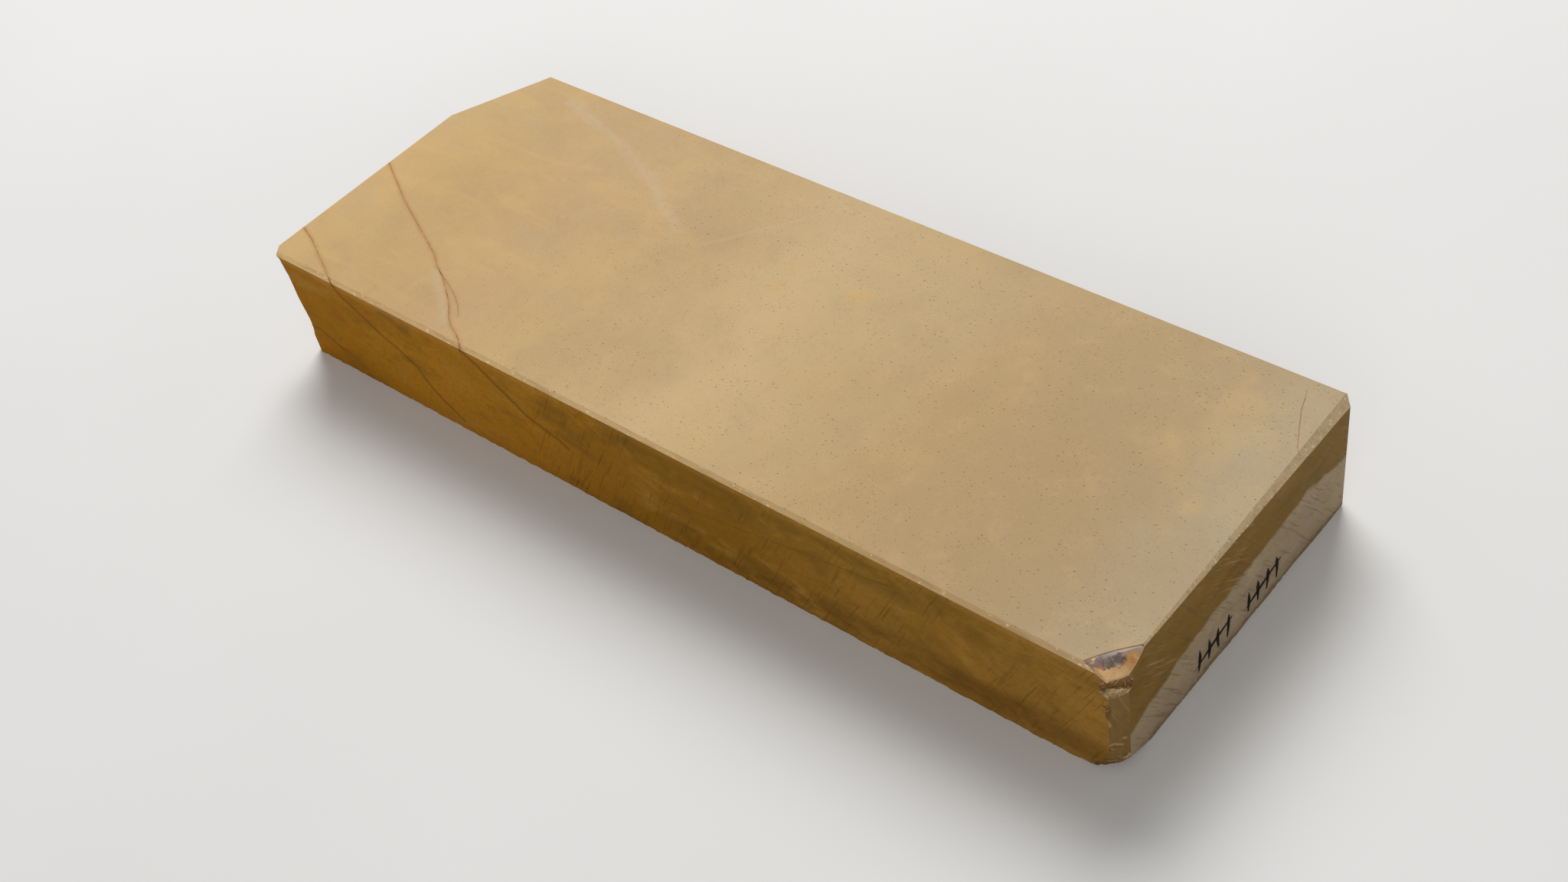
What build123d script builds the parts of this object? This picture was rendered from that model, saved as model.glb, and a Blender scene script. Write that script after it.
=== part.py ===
from build123d import *
from math import atan, cos, hypot, radians, sin, tan
import os

# A bench whetstone cut from one natural bed of stone: a sawn block with a lapped
# honing face, healed seams of other minerals, a scrap of natural crust left on one
# corner, and a few plain brush strokes of ink on one end.
#
# Frame: the origin is the centre of the block's bed (its underside).
# +X runs along the length to the inked end, +Y to the far long side, +Z up.

os.makedirs("parts", exist_ok=True)

# ---------------------------------------------------------------- the block, mm
length = 206.4            # tip of the left end to the brow of the right end
width = 70.8              # near long side to far long side
height = 27.3             # bed to honing face

left_skew = 1.9           # how much the left end runs in from its near to its far corner
clip_along = 12.8         # far left corner sawn off: its run along the far side
clip_across = 20.4        # and its run across the end
right_lean = 1.8          # how far the foot of the right end stands in from its brow

near_bevel = 0.6          # lapped bevel along the near edge: its run across the honing face
near_bevel_drop = 1.05    # and down the near side
end_bevel = 1.0           # lapped bevel along the right end
arris = 0.3               # broken sharp edge on the rest of the honing face
near_left_radius = 1.5    # upright corner between the left end and the near side
far_right_nick = 1.6      # upright corner between the right end and the far side

# ---------------------------------------------------------------- worn corner, mm
facet_near = 1.5          # flat rubbed on the near right corner, along the near side
facet_end = 3.8           # and along the end
foot_chip_along = 5.4     # chip at the foot of that corner, along the near side
foot_chip_across = 3.4    # along the end
foot_chip_up = 6.0        # and up the corner

hollow_chord = 9.4        # shallow hollow in the broken left end: its height
hollow_depth = 1.5        # and its depth
hollow_centre_up = 9.4    # its middle above the bed

crust_along = 6.8         # natural crust on the near right corner: its run along the near edge
crust_across = 8.6        # and along the end
crust_bulge = 0.45        # how far its inner outline bows into the honing face
crust_slope = 28.0        # degrees that it falls away at that outline
crust_thickness = 0.5     # depth of the crust itself

recess_radius = 1.6       # hollow broken out under the crust
recess_centre_down = 4.7  # its middle below the honing face
recess_dip = 15.0         # degrees that it dips towards the end
recess_bite = 1.2         # how deep it bites behind the facet

# ---------------------------------------------------------------- seams, mm
seam_width = 0.4          # the brown seams
hairline_width = 0.2      # the finest seams
seam_depth = 3.0          # how far a hairline seam goes into the stone
long_run = 28.0           # how far the long seam runs down its dip
branch_run = 6.0          # and its branch
short_run = 37.5          # and the short seam
long_dip = (24.2, 0, -14.0)
short_dip = (29.4, 0, -23.2)

# Traces on the honing face are (from an end, from the near side).
long_trace = [(-1.0, 34.0), (14.0, 25.3), (36.2, 14.0), (47.0, 6.8), (57.4, -0.6)]
branch_trace = [(35.4, 14.7), (38.3, 13.2), (42.0, 11.6), (48.3, 8.1)]
short_trace = [(-1.0, 9.4), (8.6, 5.3), (18.9, -0.5)]
pale_trace = [(78.7, 44.2), (88.6, 55.5), (98.6, 67.3)]
rust_trace = [(7.5, 68.3), (4.7, 61.4), (0.6, 52.5)]       # from the right end

# Traces on the near side are (from an end, down from the honing face).
low_trace = [(3.0, 19.3), (6.2, 19.1), (10.8, 21.4), (13.8, 22.2)]
side_trace = [(108.6, 18.4), (93.7, 14.5), (65.0, 9.3), (39.7, 4.7)]    # from the right end

# ---------------------------------------------------------------- ink, mm
ink_depth = 0.1           # how far the ink has soaked into the stone
stroke_height = 6.2
stroke_width = 1.0
stroke_pitch = 2.9
stroke_count = 4          # upright strokes in one group
group_pitch = 15.0
group_count = 2
cross_tilt = 14.0         # degrees that the stroke drawn across a group rises
ink_from_near = 35.6      # middle of the strokes, from the near side
ink_above_bed = 5.6       # middle of the strokes, up the end face

# ---------------------------------------------------------------- derived places
left_x = -length / 2
right_x = length / 2
near_y = -width / 2
far_y = width / 2
past = 1.0                # how far a cutting body runs past the face that it cuts

skew = atan(left_skew / (width - clip_across))
rounding_loss = near_left_radius * (tan(skew) + 1 / cos(skew) - 1)
left_corner_x = left_x - rounding_loss

lean = atan(right_lean / height)
end_normal = (cos(lean), 0, -sin(lean))
brow_z = height - end_bevel
foot_x = right_x - brow_z * tan(lean)

bed_face = Plane.XY
honing_face = Plane.XY.offset(height)
near_face = Plane(origin=(0, near_y, height), x_dir=(1, 0, 0), z_dir=(0, -1, 0))
end_face = Plane(origin=(foot_x, 0, 0), x_dir=(0, 1, 0), z_dir=end_normal)


def is_upright_at(edge, x, y):
    """True for an upright edge whose foot is at a place on the bed."""
    foot, head = edge.vertices().sort_by(Axis.Z)
    return head.Z - foot.Z > height / 2 and hypot(foot.X - x, foot.Y - y) < past


# ---------------------------------------------------------------- the shaped block
# Everything below is cut from this one outer shape, so that the stone, its seams
# and its crust stay flush.
hollow_radius = (hollow_chord**2 / 4 + hollow_depth**2) / (2 * hollow_depth)
left_end_middle = (
    left_x + left_skew / 2 - (hollow_radius - hollow_depth) * cos(skew),
    -clip_across / 2 + (hollow_radius - hollow_depth) * sin(skew),
    hollow_centre_up,
)
hollow_plane = Plane(origin=left_end_middle, x_dir=(0, 0, 1), z_dir=(sin(skew), cos(skew), 0))

chip_normal = (1 / foot_chip_along, -1 / foot_chip_across, -1 / foot_chip_up)
chip_plane = Plane(origin=(foot_x - foot_chip_along, near_y, 0), z_dir=chip_normal)

recess_z = height - recess_centre_down
facet_width = hypot(facet_near, facet_end)
facet_out = Vector(facet_end, -facet_near, 0) / facet_width
facet_middle = Vector(
    foot_x + recess_z * tan(lean) - facet_near / 2,
    near_y + facet_end / 2,
    recess_z,
)
recess_plane = Plane(
    origin=facet_middle + facet_out * (recess_radius - recess_bite),
    x_dir=(0, 0, 1),
    z_dir=(facet_near, facet_end, -facet_width * tan(radians(recess_dip))),
)

with BuildPart() as block:
    with BuildSketch(bed_face) as plan:
        with BuildLine() as outline:
            Polyline(
                (left_corner_x, near_y),
                (right_x + past, near_y),
                (right_x + past, far_y),
                (left_x + clip_along, far_y),
                (left_x + left_skew, far_y - clip_across),
                close=True,
            )
        make_face()
    extrude(amount=height)
    split(bisect_by=end_face, keep=Keep.BOTTOM)

    near_left_edge = block.edges().filter_by(lambda e: is_upright_at(e, left_x, near_y))
    fillet(near_left_edge, radius=near_left_radius)
    far_right_edge = block.edges().filter_by(lambda e: is_upright_at(e, foot_x, far_y))
    chamfer(far_right_edge, length=far_right_nick)
    near_right_edge = block.edges().filter_by(lambda e: is_upright_at(e, foot_x, near_y))
    near_wall = block.faces().sort_by(Axis.Y)[0]
    chamfer(near_right_edge, length=facet_near, length2=facet_end, reference=near_wall)

    rim = block.faces().sort_by(Axis.Z)[-1].edges()
    near_rim = rim.filter_by(Axis.X).sort_by(Axis.Y)[0]
    far_rim = rim.filter_by(Axis.X).sort_by(Axis.Y)[-1]
    end_rim = rim.filter_by(Axis.Y).sort_by(Axis.X)[-1]
    honing_face = block.faces().sort_by(Axis.Z)[-1]
    chamfer(near_rim, length=near_bevel, length2=near_bevel_drop, reference=honing_face)
    chamfer(end_rim, length=end_bevel)
    chamfer(far_rim, length=arris)

    with BuildSketch(hollow_plane) as hollow_section:
        Circle(hollow_radius)
    extrude(amount=width, both=True, mode=Mode.SUBTRACT)

    with BuildSketch(recess_plane) as recess_section:
        Circle(recess_radius)
    extrude(amount=facet_width / 2 + past, both=True, mode=Mode.SUBTRACT)

    split(bisect_by=chip_plane, keep=Keep.BOTTOM)


# ---------------------------------------------------------------- corner crust
# Its seat is a shallow round scoop out of the corner. The scoop meets the honing
# face along an arc that bows in by crust_bulge and falls away there at crust_slope.
crust_chord = hypot(crust_along, crust_across)
scoop_reach = (crust_chord**2 / 4 + crust_bulge**2) / (2 * crust_bulge)
chord_middle = Vector(right_x - crust_along / 2, near_y + crust_across / 2, height)
towards_corner = Vector(crust_across, -crust_along, 0) / crust_chord
scoop_rise = scoop_reach / tan(radians(crust_slope))
scoop_radius = hypot(scoop_reach, scoop_rise)
scoop_centre = chord_middle + towards_corner * (scoop_reach - crust_bulge) + Vector(0, 0, scoop_rise)

with BuildPart() as corner_crust:
    add(block.part)
    with Locations(scoop_centre):
        Sphere(scoop_radius, mode=Mode.INTERSECT)
        Sphere(scoop_radius - crust_thickness, mode=Mode.SUBTRACT)


# ---------------------------------------------------------------- seams
# Each seam is a thin sheet of mineral that fills an old crack in the stone. It is
# drawn as a strip along its trace on a face and goes into the stone from there.
def on_honing_face(points, start_x, along_sign):
    """Trace points on the honing face, measured along from one end."""
    return [(start_x + along_sign * along, near_y + across) for along, across in points]


def on_near_face(points, start_x, along_sign):
    """Trace points on the near side, measured along from one end and down."""
    return [(start_x + along_sign * along, -down) for along, down in points]


def strip(plane, points, thickness):
    """A narrow strip that follows a trace on a plane."""
    with BuildSketch(plane) as outline_strip:
        with BuildLine() as trace_line:
            Polyline(*points)
            offset(amount=thickness / 2, side=Side.BOTH, kind=Kind.INTERSECTION)
        make_face()
    return outline_strip.sketch


long_points = on_honing_face(long_trace, left_x, 1)
with BuildPart() as long_seam:
    extrude(strip(honing_face, long_points, seam_width), amount=long_run, dir=long_dip)
    add(block.part, mode=Mode.INTERSECT)

branch_points = on_honing_face(branch_trace, left_x, 1)
with BuildPart() as branch_seam:
    extrude(strip(honing_face, branch_points, seam_width), amount=branch_run, dir=long_dip)
    add(block.part, mode=Mode.INTERSECT)
    add(long_seam.part, mode=Mode.SUBTRACT)

short_points = on_honing_face(short_trace, left_x, 1)
with BuildPart() as short_seam:
    extrude(strip(honing_face, short_points, seam_width), amount=short_run, dir=short_dip)
    add(block.part, mode=Mode.INTERSECT)

low_points = on_near_face(low_trace, left_x, 1)
with BuildPart() as low_seam:
    extrude(strip(near_face, low_points, seam_width), amount=-seam_depth)
    add(block.part, mode=Mode.INTERSECT)

side_points = on_near_face(side_trace, right_x, -1)
with BuildPart() as side_seam:
    extrude(strip(near_face, side_points, hairline_width), amount=-seam_depth)
    add(block.part, mode=Mode.INTERSECT)

pale_points = on_honing_face(pale_trace, left_x, 1)
with BuildPart() as pale_seam:
    extrude(strip(honing_face, pale_points, hairline_width), amount=-seam_depth)
    add(block.part, mode=Mode.INTERSECT)

rust_points = on_honing_face(rust_trace, right_x, -1)
with BuildPart() as rust_seam:
    extrude(strip(honing_face, rust_points, hairline_width), amount=-seam_depth)
    add(block.part, mode=Mode.INTERSECT)


# ---------------------------------------------------------------- ink strokes
# A plain tally, soaked into the end face and flush with it: groups of upright
# strokes with one drawn across them.
cross_length = hypot(stroke_pitch * stroke_count, stroke_height / 2)

with BuildPart() as ink_strokes:
    with BuildSketch(end_face) as tally:
        with Locations((near_y + ink_from_near, ink_above_bed)):
            with GridLocations(group_pitch, stroke_height, group_count, 1):
                SlotOverall(cross_length, stroke_width, rotation=cross_tilt)
                with GridLocations(stroke_pitch, stroke_height, stroke_count, 1):
                    SlotOverall(stroke_height, stroke_width, rotation=90)
    extrude(amount=-ink_depth)


# ---------------------------------------------------------------- the stone itself
seams = [long_seam, branch_seam, short_seam, low_seam, side_seam, pale_seam, rust_seam]

with BuildPart() as stone_body:
    add(block.part)
    with Locations(scoop_centre):
        Sphere(scoop_radius, mode=Mode.SUBTRACT)
    for inlay in [*seams, ink_strokes]:
        add(inlay.part, mode=Mode.SUBTRACT)


# ---------------------------------------------------------------- labels and files
stone_body.part.label = "stone_body"
corner_crust.part.label = "corner_crust"
long_seam.part.label = "long_seam"
branch_seam.part.label = "branch_seam"
short_seam.part.label = "short_seam"
low_seam.part.label = "low_seam"
side_seam.part.label = "side_seam"
pale_seam.part.label = "pale_seam"
rust_seam.part.label = "rust_seam"
ink_strokes.part.label = "ink_strokes"

for piece in [stone_body, corner_crust, *seams, ink_strokes]:
    export_step(piece.part, f"parts/{piece.part.label}.step")
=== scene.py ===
"""A natural bench whetstone: a sawn block with a honed face, healed seams and a scrap of crust."""

import logging
import math
import random
from collections.abc import Callable, Iterator
from contextlib import contextmanager
from dataclasses import dataclass
from enum import Enum

import bmesh
import bpy
from mathutils import Matrix, Vector, noise

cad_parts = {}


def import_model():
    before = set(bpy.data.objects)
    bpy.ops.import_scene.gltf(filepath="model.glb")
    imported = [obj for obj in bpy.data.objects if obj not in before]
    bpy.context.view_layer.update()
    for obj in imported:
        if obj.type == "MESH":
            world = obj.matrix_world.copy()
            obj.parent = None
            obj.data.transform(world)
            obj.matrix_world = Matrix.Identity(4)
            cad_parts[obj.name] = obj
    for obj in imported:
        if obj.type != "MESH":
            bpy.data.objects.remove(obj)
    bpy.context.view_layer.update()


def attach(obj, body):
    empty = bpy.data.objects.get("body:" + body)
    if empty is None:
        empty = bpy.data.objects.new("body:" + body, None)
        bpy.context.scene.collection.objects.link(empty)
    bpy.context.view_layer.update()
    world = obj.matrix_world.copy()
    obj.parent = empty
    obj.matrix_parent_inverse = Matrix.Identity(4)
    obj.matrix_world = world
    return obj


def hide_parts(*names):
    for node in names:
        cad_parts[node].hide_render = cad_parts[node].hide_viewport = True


LOG = logging.getLogger("whetstone")
MM = 0.001

# ---------------------------------------------------------------- the block's sizes, mm
LENGTH = 206.4
WIDTH = 70.8
HEIGHT = 27.3
LEFT_X = -LENGTH / 2
RIGHT_X = LENGTH / 2
NEAR_Y = -WIDTH / 2
FAR_Y = WIDTH / 2
LEFT_SKEW = 1.9
CLIP_ALONG = 12.8
CLIP_ACROSS = 20.4
LEAN = 1.8 / 27.3
FOOT_X = RIGHT_X - 26.3 * LEAN
LEFT_ROUND = 1.7
NEAR_BEVEL = 0.72
NEAR_BEVEL_DROP = 1.25
FACET_NEAR = 1.5
FACET_END = 3.8
SKIN = 0.015
# Where the curved growth band on the honing face has its middle.
GROWTH_BAND_MIDDLE = (-91.2, -8.2, HEIGHT)
# Height above the bed and how far the split left end stands in there.
LEFT_PROFILE = (
    (0.0, 1.1), (2.3, 1.1), (4.7, 1.3), (7.4, 2.6), (10.4, 2.7), (13.2, 2.1),
    (16.3, 1.3), (21.6, 1.5), (24.3, 0.8), (25.9, 0.45), (26.8, 0.1), (27.3, 0.0),
)
# Three places on the lapped edge of the right end.
END_BEVEL_FACE = ((102.8, -23.4, 27.3), (101.7, 32.6, 27.3), (103.12, 32.6, 25.9))
# Share of the way across the right end and how high its grey part reaches there.
END_SEAM_HEIGHTS = (
    (0.0, 6.6), (0.075, 8.7), (0.13, 10.3), (0.2, 11.7), (0.26, 13.0), (0.46, 14.4),
    (0.62, 15.4), (0.8, 16.5), (0.96, 13.4),
)

CRUST_ALONG = 6.8
CRUST_ACROSS = 8.6
CRUST_BULGE = 0.45
CRUST_SLOPE = 22.0
CRUST_DROP = 3.6
CRUST_THICKNESS = 0.5
# The break at the foot of the worn corner: how far it reaches along, across and up.
FOOT_CHIP = (5.4, 3.4, 6.0)
# The way out of the flake beside it, and where a chip lies on the facet's left edge.
END_FOOT_CHIP = (14.0, -5.2, -16.1)
FACET_CHIP_X = 100.45

# How much brighter a surface is than it looks in the shade that it stands in.
SIDE_LIFT = 1.8
END_LIFT = 1.6


def along_x(z: float) -> float:
    """Where the leaning right end stands at a height above the bed."""
    return FOOT_X + z * LEAN


def on_facet(along: float, z: float) -> tuple[float, float, float]:
    """A place on the rubbed facet, from its distance past the near side and its height."""
    width = math.hypot(FACET_NEAR, FACET_END)
    return (along_x(z) - FACET_NEAR + along * FACET_NEAR / width, NEAR_Y + along * FACET_END / width, z)


# ---------------------------------------------------------------- hand tools
def rest_everything() -> None:
    """Leave edit mode with nothing selected."""
    if bpy.context.mode != "OBJECT":
        bpy.ops.object.mode_set(mode="OBJECT")
    bpy.ops.object.select_all(action="DESELECT")


def take(piece: bpy.types.Object) -> None:
    """Make one object the only selected and active one.

    Args:
        piece: The object to take.
    """
    rest_everything()
    piece.select_set(True)
    bpy.context.view_layer.objects.active = piece


@contextmanager
def shaping(piece: bpy.types.Object) -> Iterator[None]:
    """Hold an object in edit mode for the length of a with block.

    Args:
        piece: The object to shape.
    """
    take(piece)
    bpy.ops.object.mode_set(mode="EDIT")
    try:
        yield
    finally:
        bpy.ops.object.mode_set(mode="OBJECT")


def vec(x: float, y: float, z: float) -> Vector:
    """A place given in millimetres, as metres."""
    return Vector((x, y, z)) * MM


def select_points(piece: bpy.types.Object, test: Callable[[Vector], bool]) -> int:
    """Select the vertices of an object in edit mode by their place.

    Args:
        piece: The object in edit mode.
        test: Says of a place in millimetres whether it is wanted.

    Returns:
        How many vertices are selected.
    """
    mesh = bmesh.from_edit_mesh(piece.data)
    bpy.ops.mesh.select_all(action="DESELECT")
    count = 0
    for vert in mesh.verts:
        if test(vert.co / MM):
            vert.select_set(True)
            count += 1
    mesh.select_flush_mode()
    bmesh.update_edit_mesh(piece.data)
    return count


def trim(piece: bpy.types.Object, place: Vector, out: Vector) -> None:
    """Saw off what lies beyond a plane and close the cut.

    Args:
        piece: The object to cut.
        place: A point of the plane, in metres.
        out: The plane's normal, towards the waste.
    """
    with shaping(piece):
        bpy.ops.mesh.select_all(action="SELECT")
        bpy.ops.mesh.bisect(plane_co=place, plane_no=out, use_fill=True, clear_outer=True, threshold=1e-7)


def score(piece: bpy.types.Object, places: list[float], axis: int) -> None:
    """Run lines round a block at several places along an axis, so that it can be shaped there.

    Args:
        piece: The object to score.
        places: Where the lines go, in millimetres.
        axis: 0, 1 or 2 for X, Y or Z.
    """
    normal = Vector((0.0, 0.0, 0.0))
    normal[axis] = 1.0
    with shaping(piece):
        for place in places:
            bpy.ops.mesh.select_all(action="SELECT")
            bpy.ops.mesh.bisect(plane_co=normal * place * MM, plane_no=normal, threshold=1e-8)


def apply_modifier(piece: bpy.types.Object, modifier: bpy.types.Modifier) -> None:
    """Apply one modifier of an object."""
    take(piece)
    bpy.ops.object.modifier_apply(modifier=modifier.name)


def weigh(piece: bpy.types.Object, name: str, weight: Callable[[Vector], float]) -> bpy.types.VertexGroup:
    """Make a vertex group whose weight depends on place.

    Args:
        piece: The object.
        name: The group's name.
        weight: Gives the weight, 0 to 1, at a place in millimetres.

    Returns:
        The group.
    """
    group = piece.vertex_groups.new(name=name)
    for vert in piece.data.vertices:
        amount = weight(vert.co / MM)
        if amount > 0.001:
            group.add([vert.index], min(amount, 1.0), "REPLACE")
    return group


class Lay(Enum):
    """Which way a rough patch is pushed."""

    NORMAL = "NORMAL"
    X = "X"
    Y = "Y"
    Z = "Z"


@dataclass(frozen=True)
class Roughing:
    """Unevenness pushed into part of a surface."""

    name: str
    size: float
    strength: float
    lay: Lay = Lay.NORMAL
    middle: float = 0.5
    basis: str = "BLENDER_ORIGINAL"
    depth: int = 2
    floor: float = 0.0

    def press(self, piece: bpy.types.Object, weight: Callable[[Vector], float]) -> None:
        """Push the surface in and out where the weight says.

        Args:
            piece: The object.
            weight: Gives the share of the strength, 0 to 1, at a place in millimetres.
        """
        pattern = bpy.data.textures.new(self.name, "CLOUDS")
        pattern.noise_scale = self.size * MM
        pattern.noise_basis = self.basis
        pattern.noise_depth = self.depth
        if self.floor > 0.0:
            pattern.use_color_ramp = True
            pattern.color_ramp.elements[0].position = self.floor
            pattern.color_ramp.elements[0].color = (0, 0, 0, 1)
            pattern.color_ramp.elements[1].color = (1, 1, 1, 1)
        weigh(piece, self.name, weight)
        push = piece.modifiers.new(self.name, "DISPLACE")
        push.texture = pattern
        push.texture_coords = "LOCAL"
        push.direction = self.lay.value
        push.mid_level = self.middle
        push.strength = self.strength * MM
        push.vertex_group = self.name
        apply_modifier(piece, push)
        piece.vertex_groups.remove(piece.vertex_groups[self.name])


def carve(piece: bpy.types.Object, cutter: bpy.types.Object, operation: str = "DIFFERENCE") -> None:
    """Cut one object with another and throw the cutter away.

    Args:
        piece: The object to cut.
        cutter: The cutter, whose material marks the new faces.
        operation: The boolean's operation.
    """
    cut = piece.modifiers.new("carve", "BOOLEAN")
    cut.object = cutter
    cut.operation = operation
    cut.solver = "MANIFOLD"
    cut.material_mode = "TRANSFER"
    apply_modifier(piece, cut)
    bpy.data.objects.remove(cutter)


def face_outwards(piece: bpy.types.Object) -> None:
    """Turn a closed object's faces over if they face inwards.

    Args:
        piece: The closed object.
    """
    mesh = bmesh.new()
    mesh.from_mesh(piece.data)
    inside_out = mesh.calc_volume(signed=True) < 0
    mesh.free()
    if inside_out:
        with shaping(piece):
            bpy.ops.mesh.select_all(action="SELECT")
            bpy.ops.mesh.flip_normals()


def settle(piece: bpy.types.Object, angle: float = 28.0) -> None:
    """Give an object its origin, its outward normals and its smoothing.

    Args:
        piece: The finished object.
        angle: Degrees up to which neighbouring faces look smooth.
    """
    with shaping(piece):
        bpy.ops.mesh.select_all(action="SELECT")
        bpy.ops.mesh.remove_doubles(threshold=1e-7)
        bpy.ops.mesh.normals_make_consistent(inside=False)
    take(piece)
    bpy.ops.object.transform_apply(location=True, rotation=True, scale=True)
    face_outwards(piece)
    take(piece)
    bpy.ops.object.shade_smooth_by_angle(angle=math.radians(angle))
    rest_everything()


def sink(piece: bpy.types.Object, depth: float, weight: Callable[[Vector], float]) -> None:
    """Lower part of a surface evenly.

    Args:
        piece: The object.
        depth: How far it sinks at full weight, mm.
        weight: Gives the share, 0 to 1, at a place in millimetres.
    """
    weigh(piece, "sink", weight)
    push = piece.modifiers.new("sink", "DISPLACE")
    push.direction = "Z"
    push.mid_level = 0.0
    push.strength = -depth * MM
    push.vertex_group = "sink"
    apply_modifier(piece, push)
    piece.vertex_groups.remove(piece.vertex_groups["sink"])


def paint(piece: bpy.types.Object, material: bpy.types.Material) -> None:
    """Give an object one material all over."""
    piece.data.materials.clear()
    piece.data.materials.append(material)


# ---------------------------------------------------------------- colour and wiring
def shade(red: int, green: int, blue: int, gain: float = 1.0) -> tuple[float, float, float, float]:
    """A colour from 8-bit display values, in linear light.

    Args:
        red: Red, 0 to 255.
        green: Green, 0 to 255.
        blue: Blue, 0 to 255.
        gain: A factor on the linear values.

    Returns:
        The colour with an alpha of 1.
    """
    linear = []
    for part in (red, green, blue):
        share = part / 255
        value = share / 12.92 if share <= 0.04045 else ((share + 0.055) / 1.055) ** 2.4
        linear.append(min(value * gain, 1.0))
    return (linear[0], linear[1], linear[2], 1.0)


Socket = bpy.types.NodeSocket
Feed = Socket | float | tuple | Vector
MIX_FACTOR, MIX_UNDER, MIX_OVER = 0, 6, 7


class Wiring:
    """Adds nodes to one node tree and joins them."""

    def __init__(self, tree: bpy.types.NodeTree) -> None:
        """Start wiring a tree."""
        self.tree = tree

    def node(self, kind: str, **settings: object) -> bpy.types.Node:
        """A new node with some of its settings changed.

        Args:
            kind: The node's Blender type.
            settings: Its settings by name.

        Returns:
            The node.
        """
        made = self.tree.nodes.new(kind)
        for name, value in settings.items():
            setattr(made, name, value)
        return made

    def feed(self, socket: Socket, value: Feed) -> None:
        """Join a socket to another, or set its own value.

        Args:
            socket: The socket to feed.
            value: Another socket, or a plain value.
        """
        if isinstance(value, Socket):
            self.tree.links.new(value, socket)
        else:
            socket.default_value = value

    def maths(self, operation: str, first: Feed, second: Feed = 0.0, clamp: bool = False) -> Socket:
        """The result of one sum on two numbers.

        Args:
            operation: The sum, by Blender's name.
            first: The first number.
            second: The second number.
            clamp: Whether to hold it between 0 and 1.

        Returns:
            The result.
        """
        made = self.node("ShaderNodeMath", operation=operation, use_clamp=clamp)
        self.feed(made.inputs[0], first)
        self.feed(made.inputs[1], second)
        return made.outputs[0]

    def product(self, first: Feed, *others: Feed) -> Feed:
        """Several numbers multiplied together, from the left.

        Args:
            first: The first number.
            others: What it is multiplied by, in order.

        Returns:
            Their product.
        """
        result = first
        for other in others:
            result = self.maths("MULTIPLY", result, other)
        return result

    def vector(
        self, operation: str, first: Feed, second: Feed = (0.0, 0.0, 0.0), out: str = "Vector"
    ) -> Socket:
        """The result of one sum on two vectors.

        Args:
            operation: The sum, by Blender's name.
            first: The first vector.
            second: The second vector.
            out: The output to read.

        Returns:
            The result.
        """
        made = self.node("ShaderNodeVectorMath", operation=operation)
        self.feed(made.inputs[0], first)
        self.feed(made.inputs[1], second)
        return made.outputs[out]

    def blend(self, factor: Feed, under: Feed, over: Feed, mode: str = "MIX") -> Socket:
        """One colour laid over another.

        Args:
            factor: How much of the upper colour shows, 0 to 1.
            under: The lower colour.
            over: The upper colour.
            mode: How they are joined.

        Returns:
            The colour.
        """
        made = self.node("ShaderNodeMix", data_type="RGBA", blend_type=mode, clamp_factor=True)
        self.feed(made.inputs[MIX_FACTOR], factor)
        self.feed(made.inputs[MIX_UNDER], under)
        self.feed(made.inputs[MIX_OVER], over)
        return made.outputs[2]

    def span(self, value: Feed, low: float, high: float, start: float = 0.0, end: float = 1.0) -> Socket:
        """A number eased from one range to another.

        Args:
            value: The number.
            low: Where the first range starts.
            high: Where the first range ends.
            start: Where the second range starts.
            end: Where the second range ends.

        Returns:
            The eased number.
        """
        made = self.node("ShaderNodeMapRange", interpolation_type="SMOOTHSTEP")
        for socket, given in zip(made.inputs, (value, low, high, start, end)):
            self.feed(socket, given)
        return made.outputs[0]

    def clouds(
        self, where: Feed, scale: Feed, detail: float = 2.0, rough: float = 0.5, twist: float = 0.0
    ) -> Socket:
        """Soft noise, 0 to 1.

        Args:
            where: The place.
            scale: How many clouds to the millimetre.
            detail: How many finer layers it has.
            rough: How strong the finer layers are.
            twist: How far it is distorted.

        Returns:
            The noise.
        """
        made = self.node("ShaderNodeTexNoise")
        self.feed(made.inputs["Vector"], where)
        self.feed(made.inputs["Scale"], scale)
        made.inputs["Detail"].default_value = detail
        made.inputs["Roughness"].default_value = rough
        made.inputs["Distortion"].default_value = twist
        return made.outputs[0]

    def placed(
        self, where: Feed, location: tuple = (0, 0, 0), turn: tuple = (0, 0, 0), scale: tuple = (1, 1, 1)
    ) -> Socket:
        """A place moved, turned and scaled.

        Args:
            where: The place.
            location: How far it is moved.
            turn: Its turn, degrees.
            scale: Its scale.

        Returns:
            The new place.
        """
        made = self.node("ShaderNodeMapping")
        self.feed(made.inputs["Vector"], where)
        made.inputs["Location"].default_value = location
        made.inputs["Rotation"].default_value = [math.radians(angle) for angle in turn]
        made.inputs["Scale"].default_value = scale
        return made.outputs[0]

    def ramp(self, value: Feed, stops: list[tuple[float, tuple]]) -> Socket:
        """A colour picked along a row of stops.

        Args:
            value: Where along the row, 0 to 1.
            stops: Position and colour of each stop.

        Returns:
            The colour.
        """
        made = self.node("ShaderNodeValToRGB")
        bar = made.color_ramp
        for _ in range(len(stops) - 2):
            bar.elements.new(0.5)
        for element, (position, colour) in zip(bar.elements, stops):
            element.position = position
            element.color = colour
        self.feed(made.inputs[0], value)
        return made.outputs[0]

    def parts(self, where: Feed) -> Socket:
        """The X, Y and Z outputs of a vector.

        Args:
            where: The vector.

        Returns:
            Its three outputs.
        """
        made = self.node("ShaderNodeSeparateXYZ")
        self.feed(made.inputs[0], where)
        return made.outputs

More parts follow.
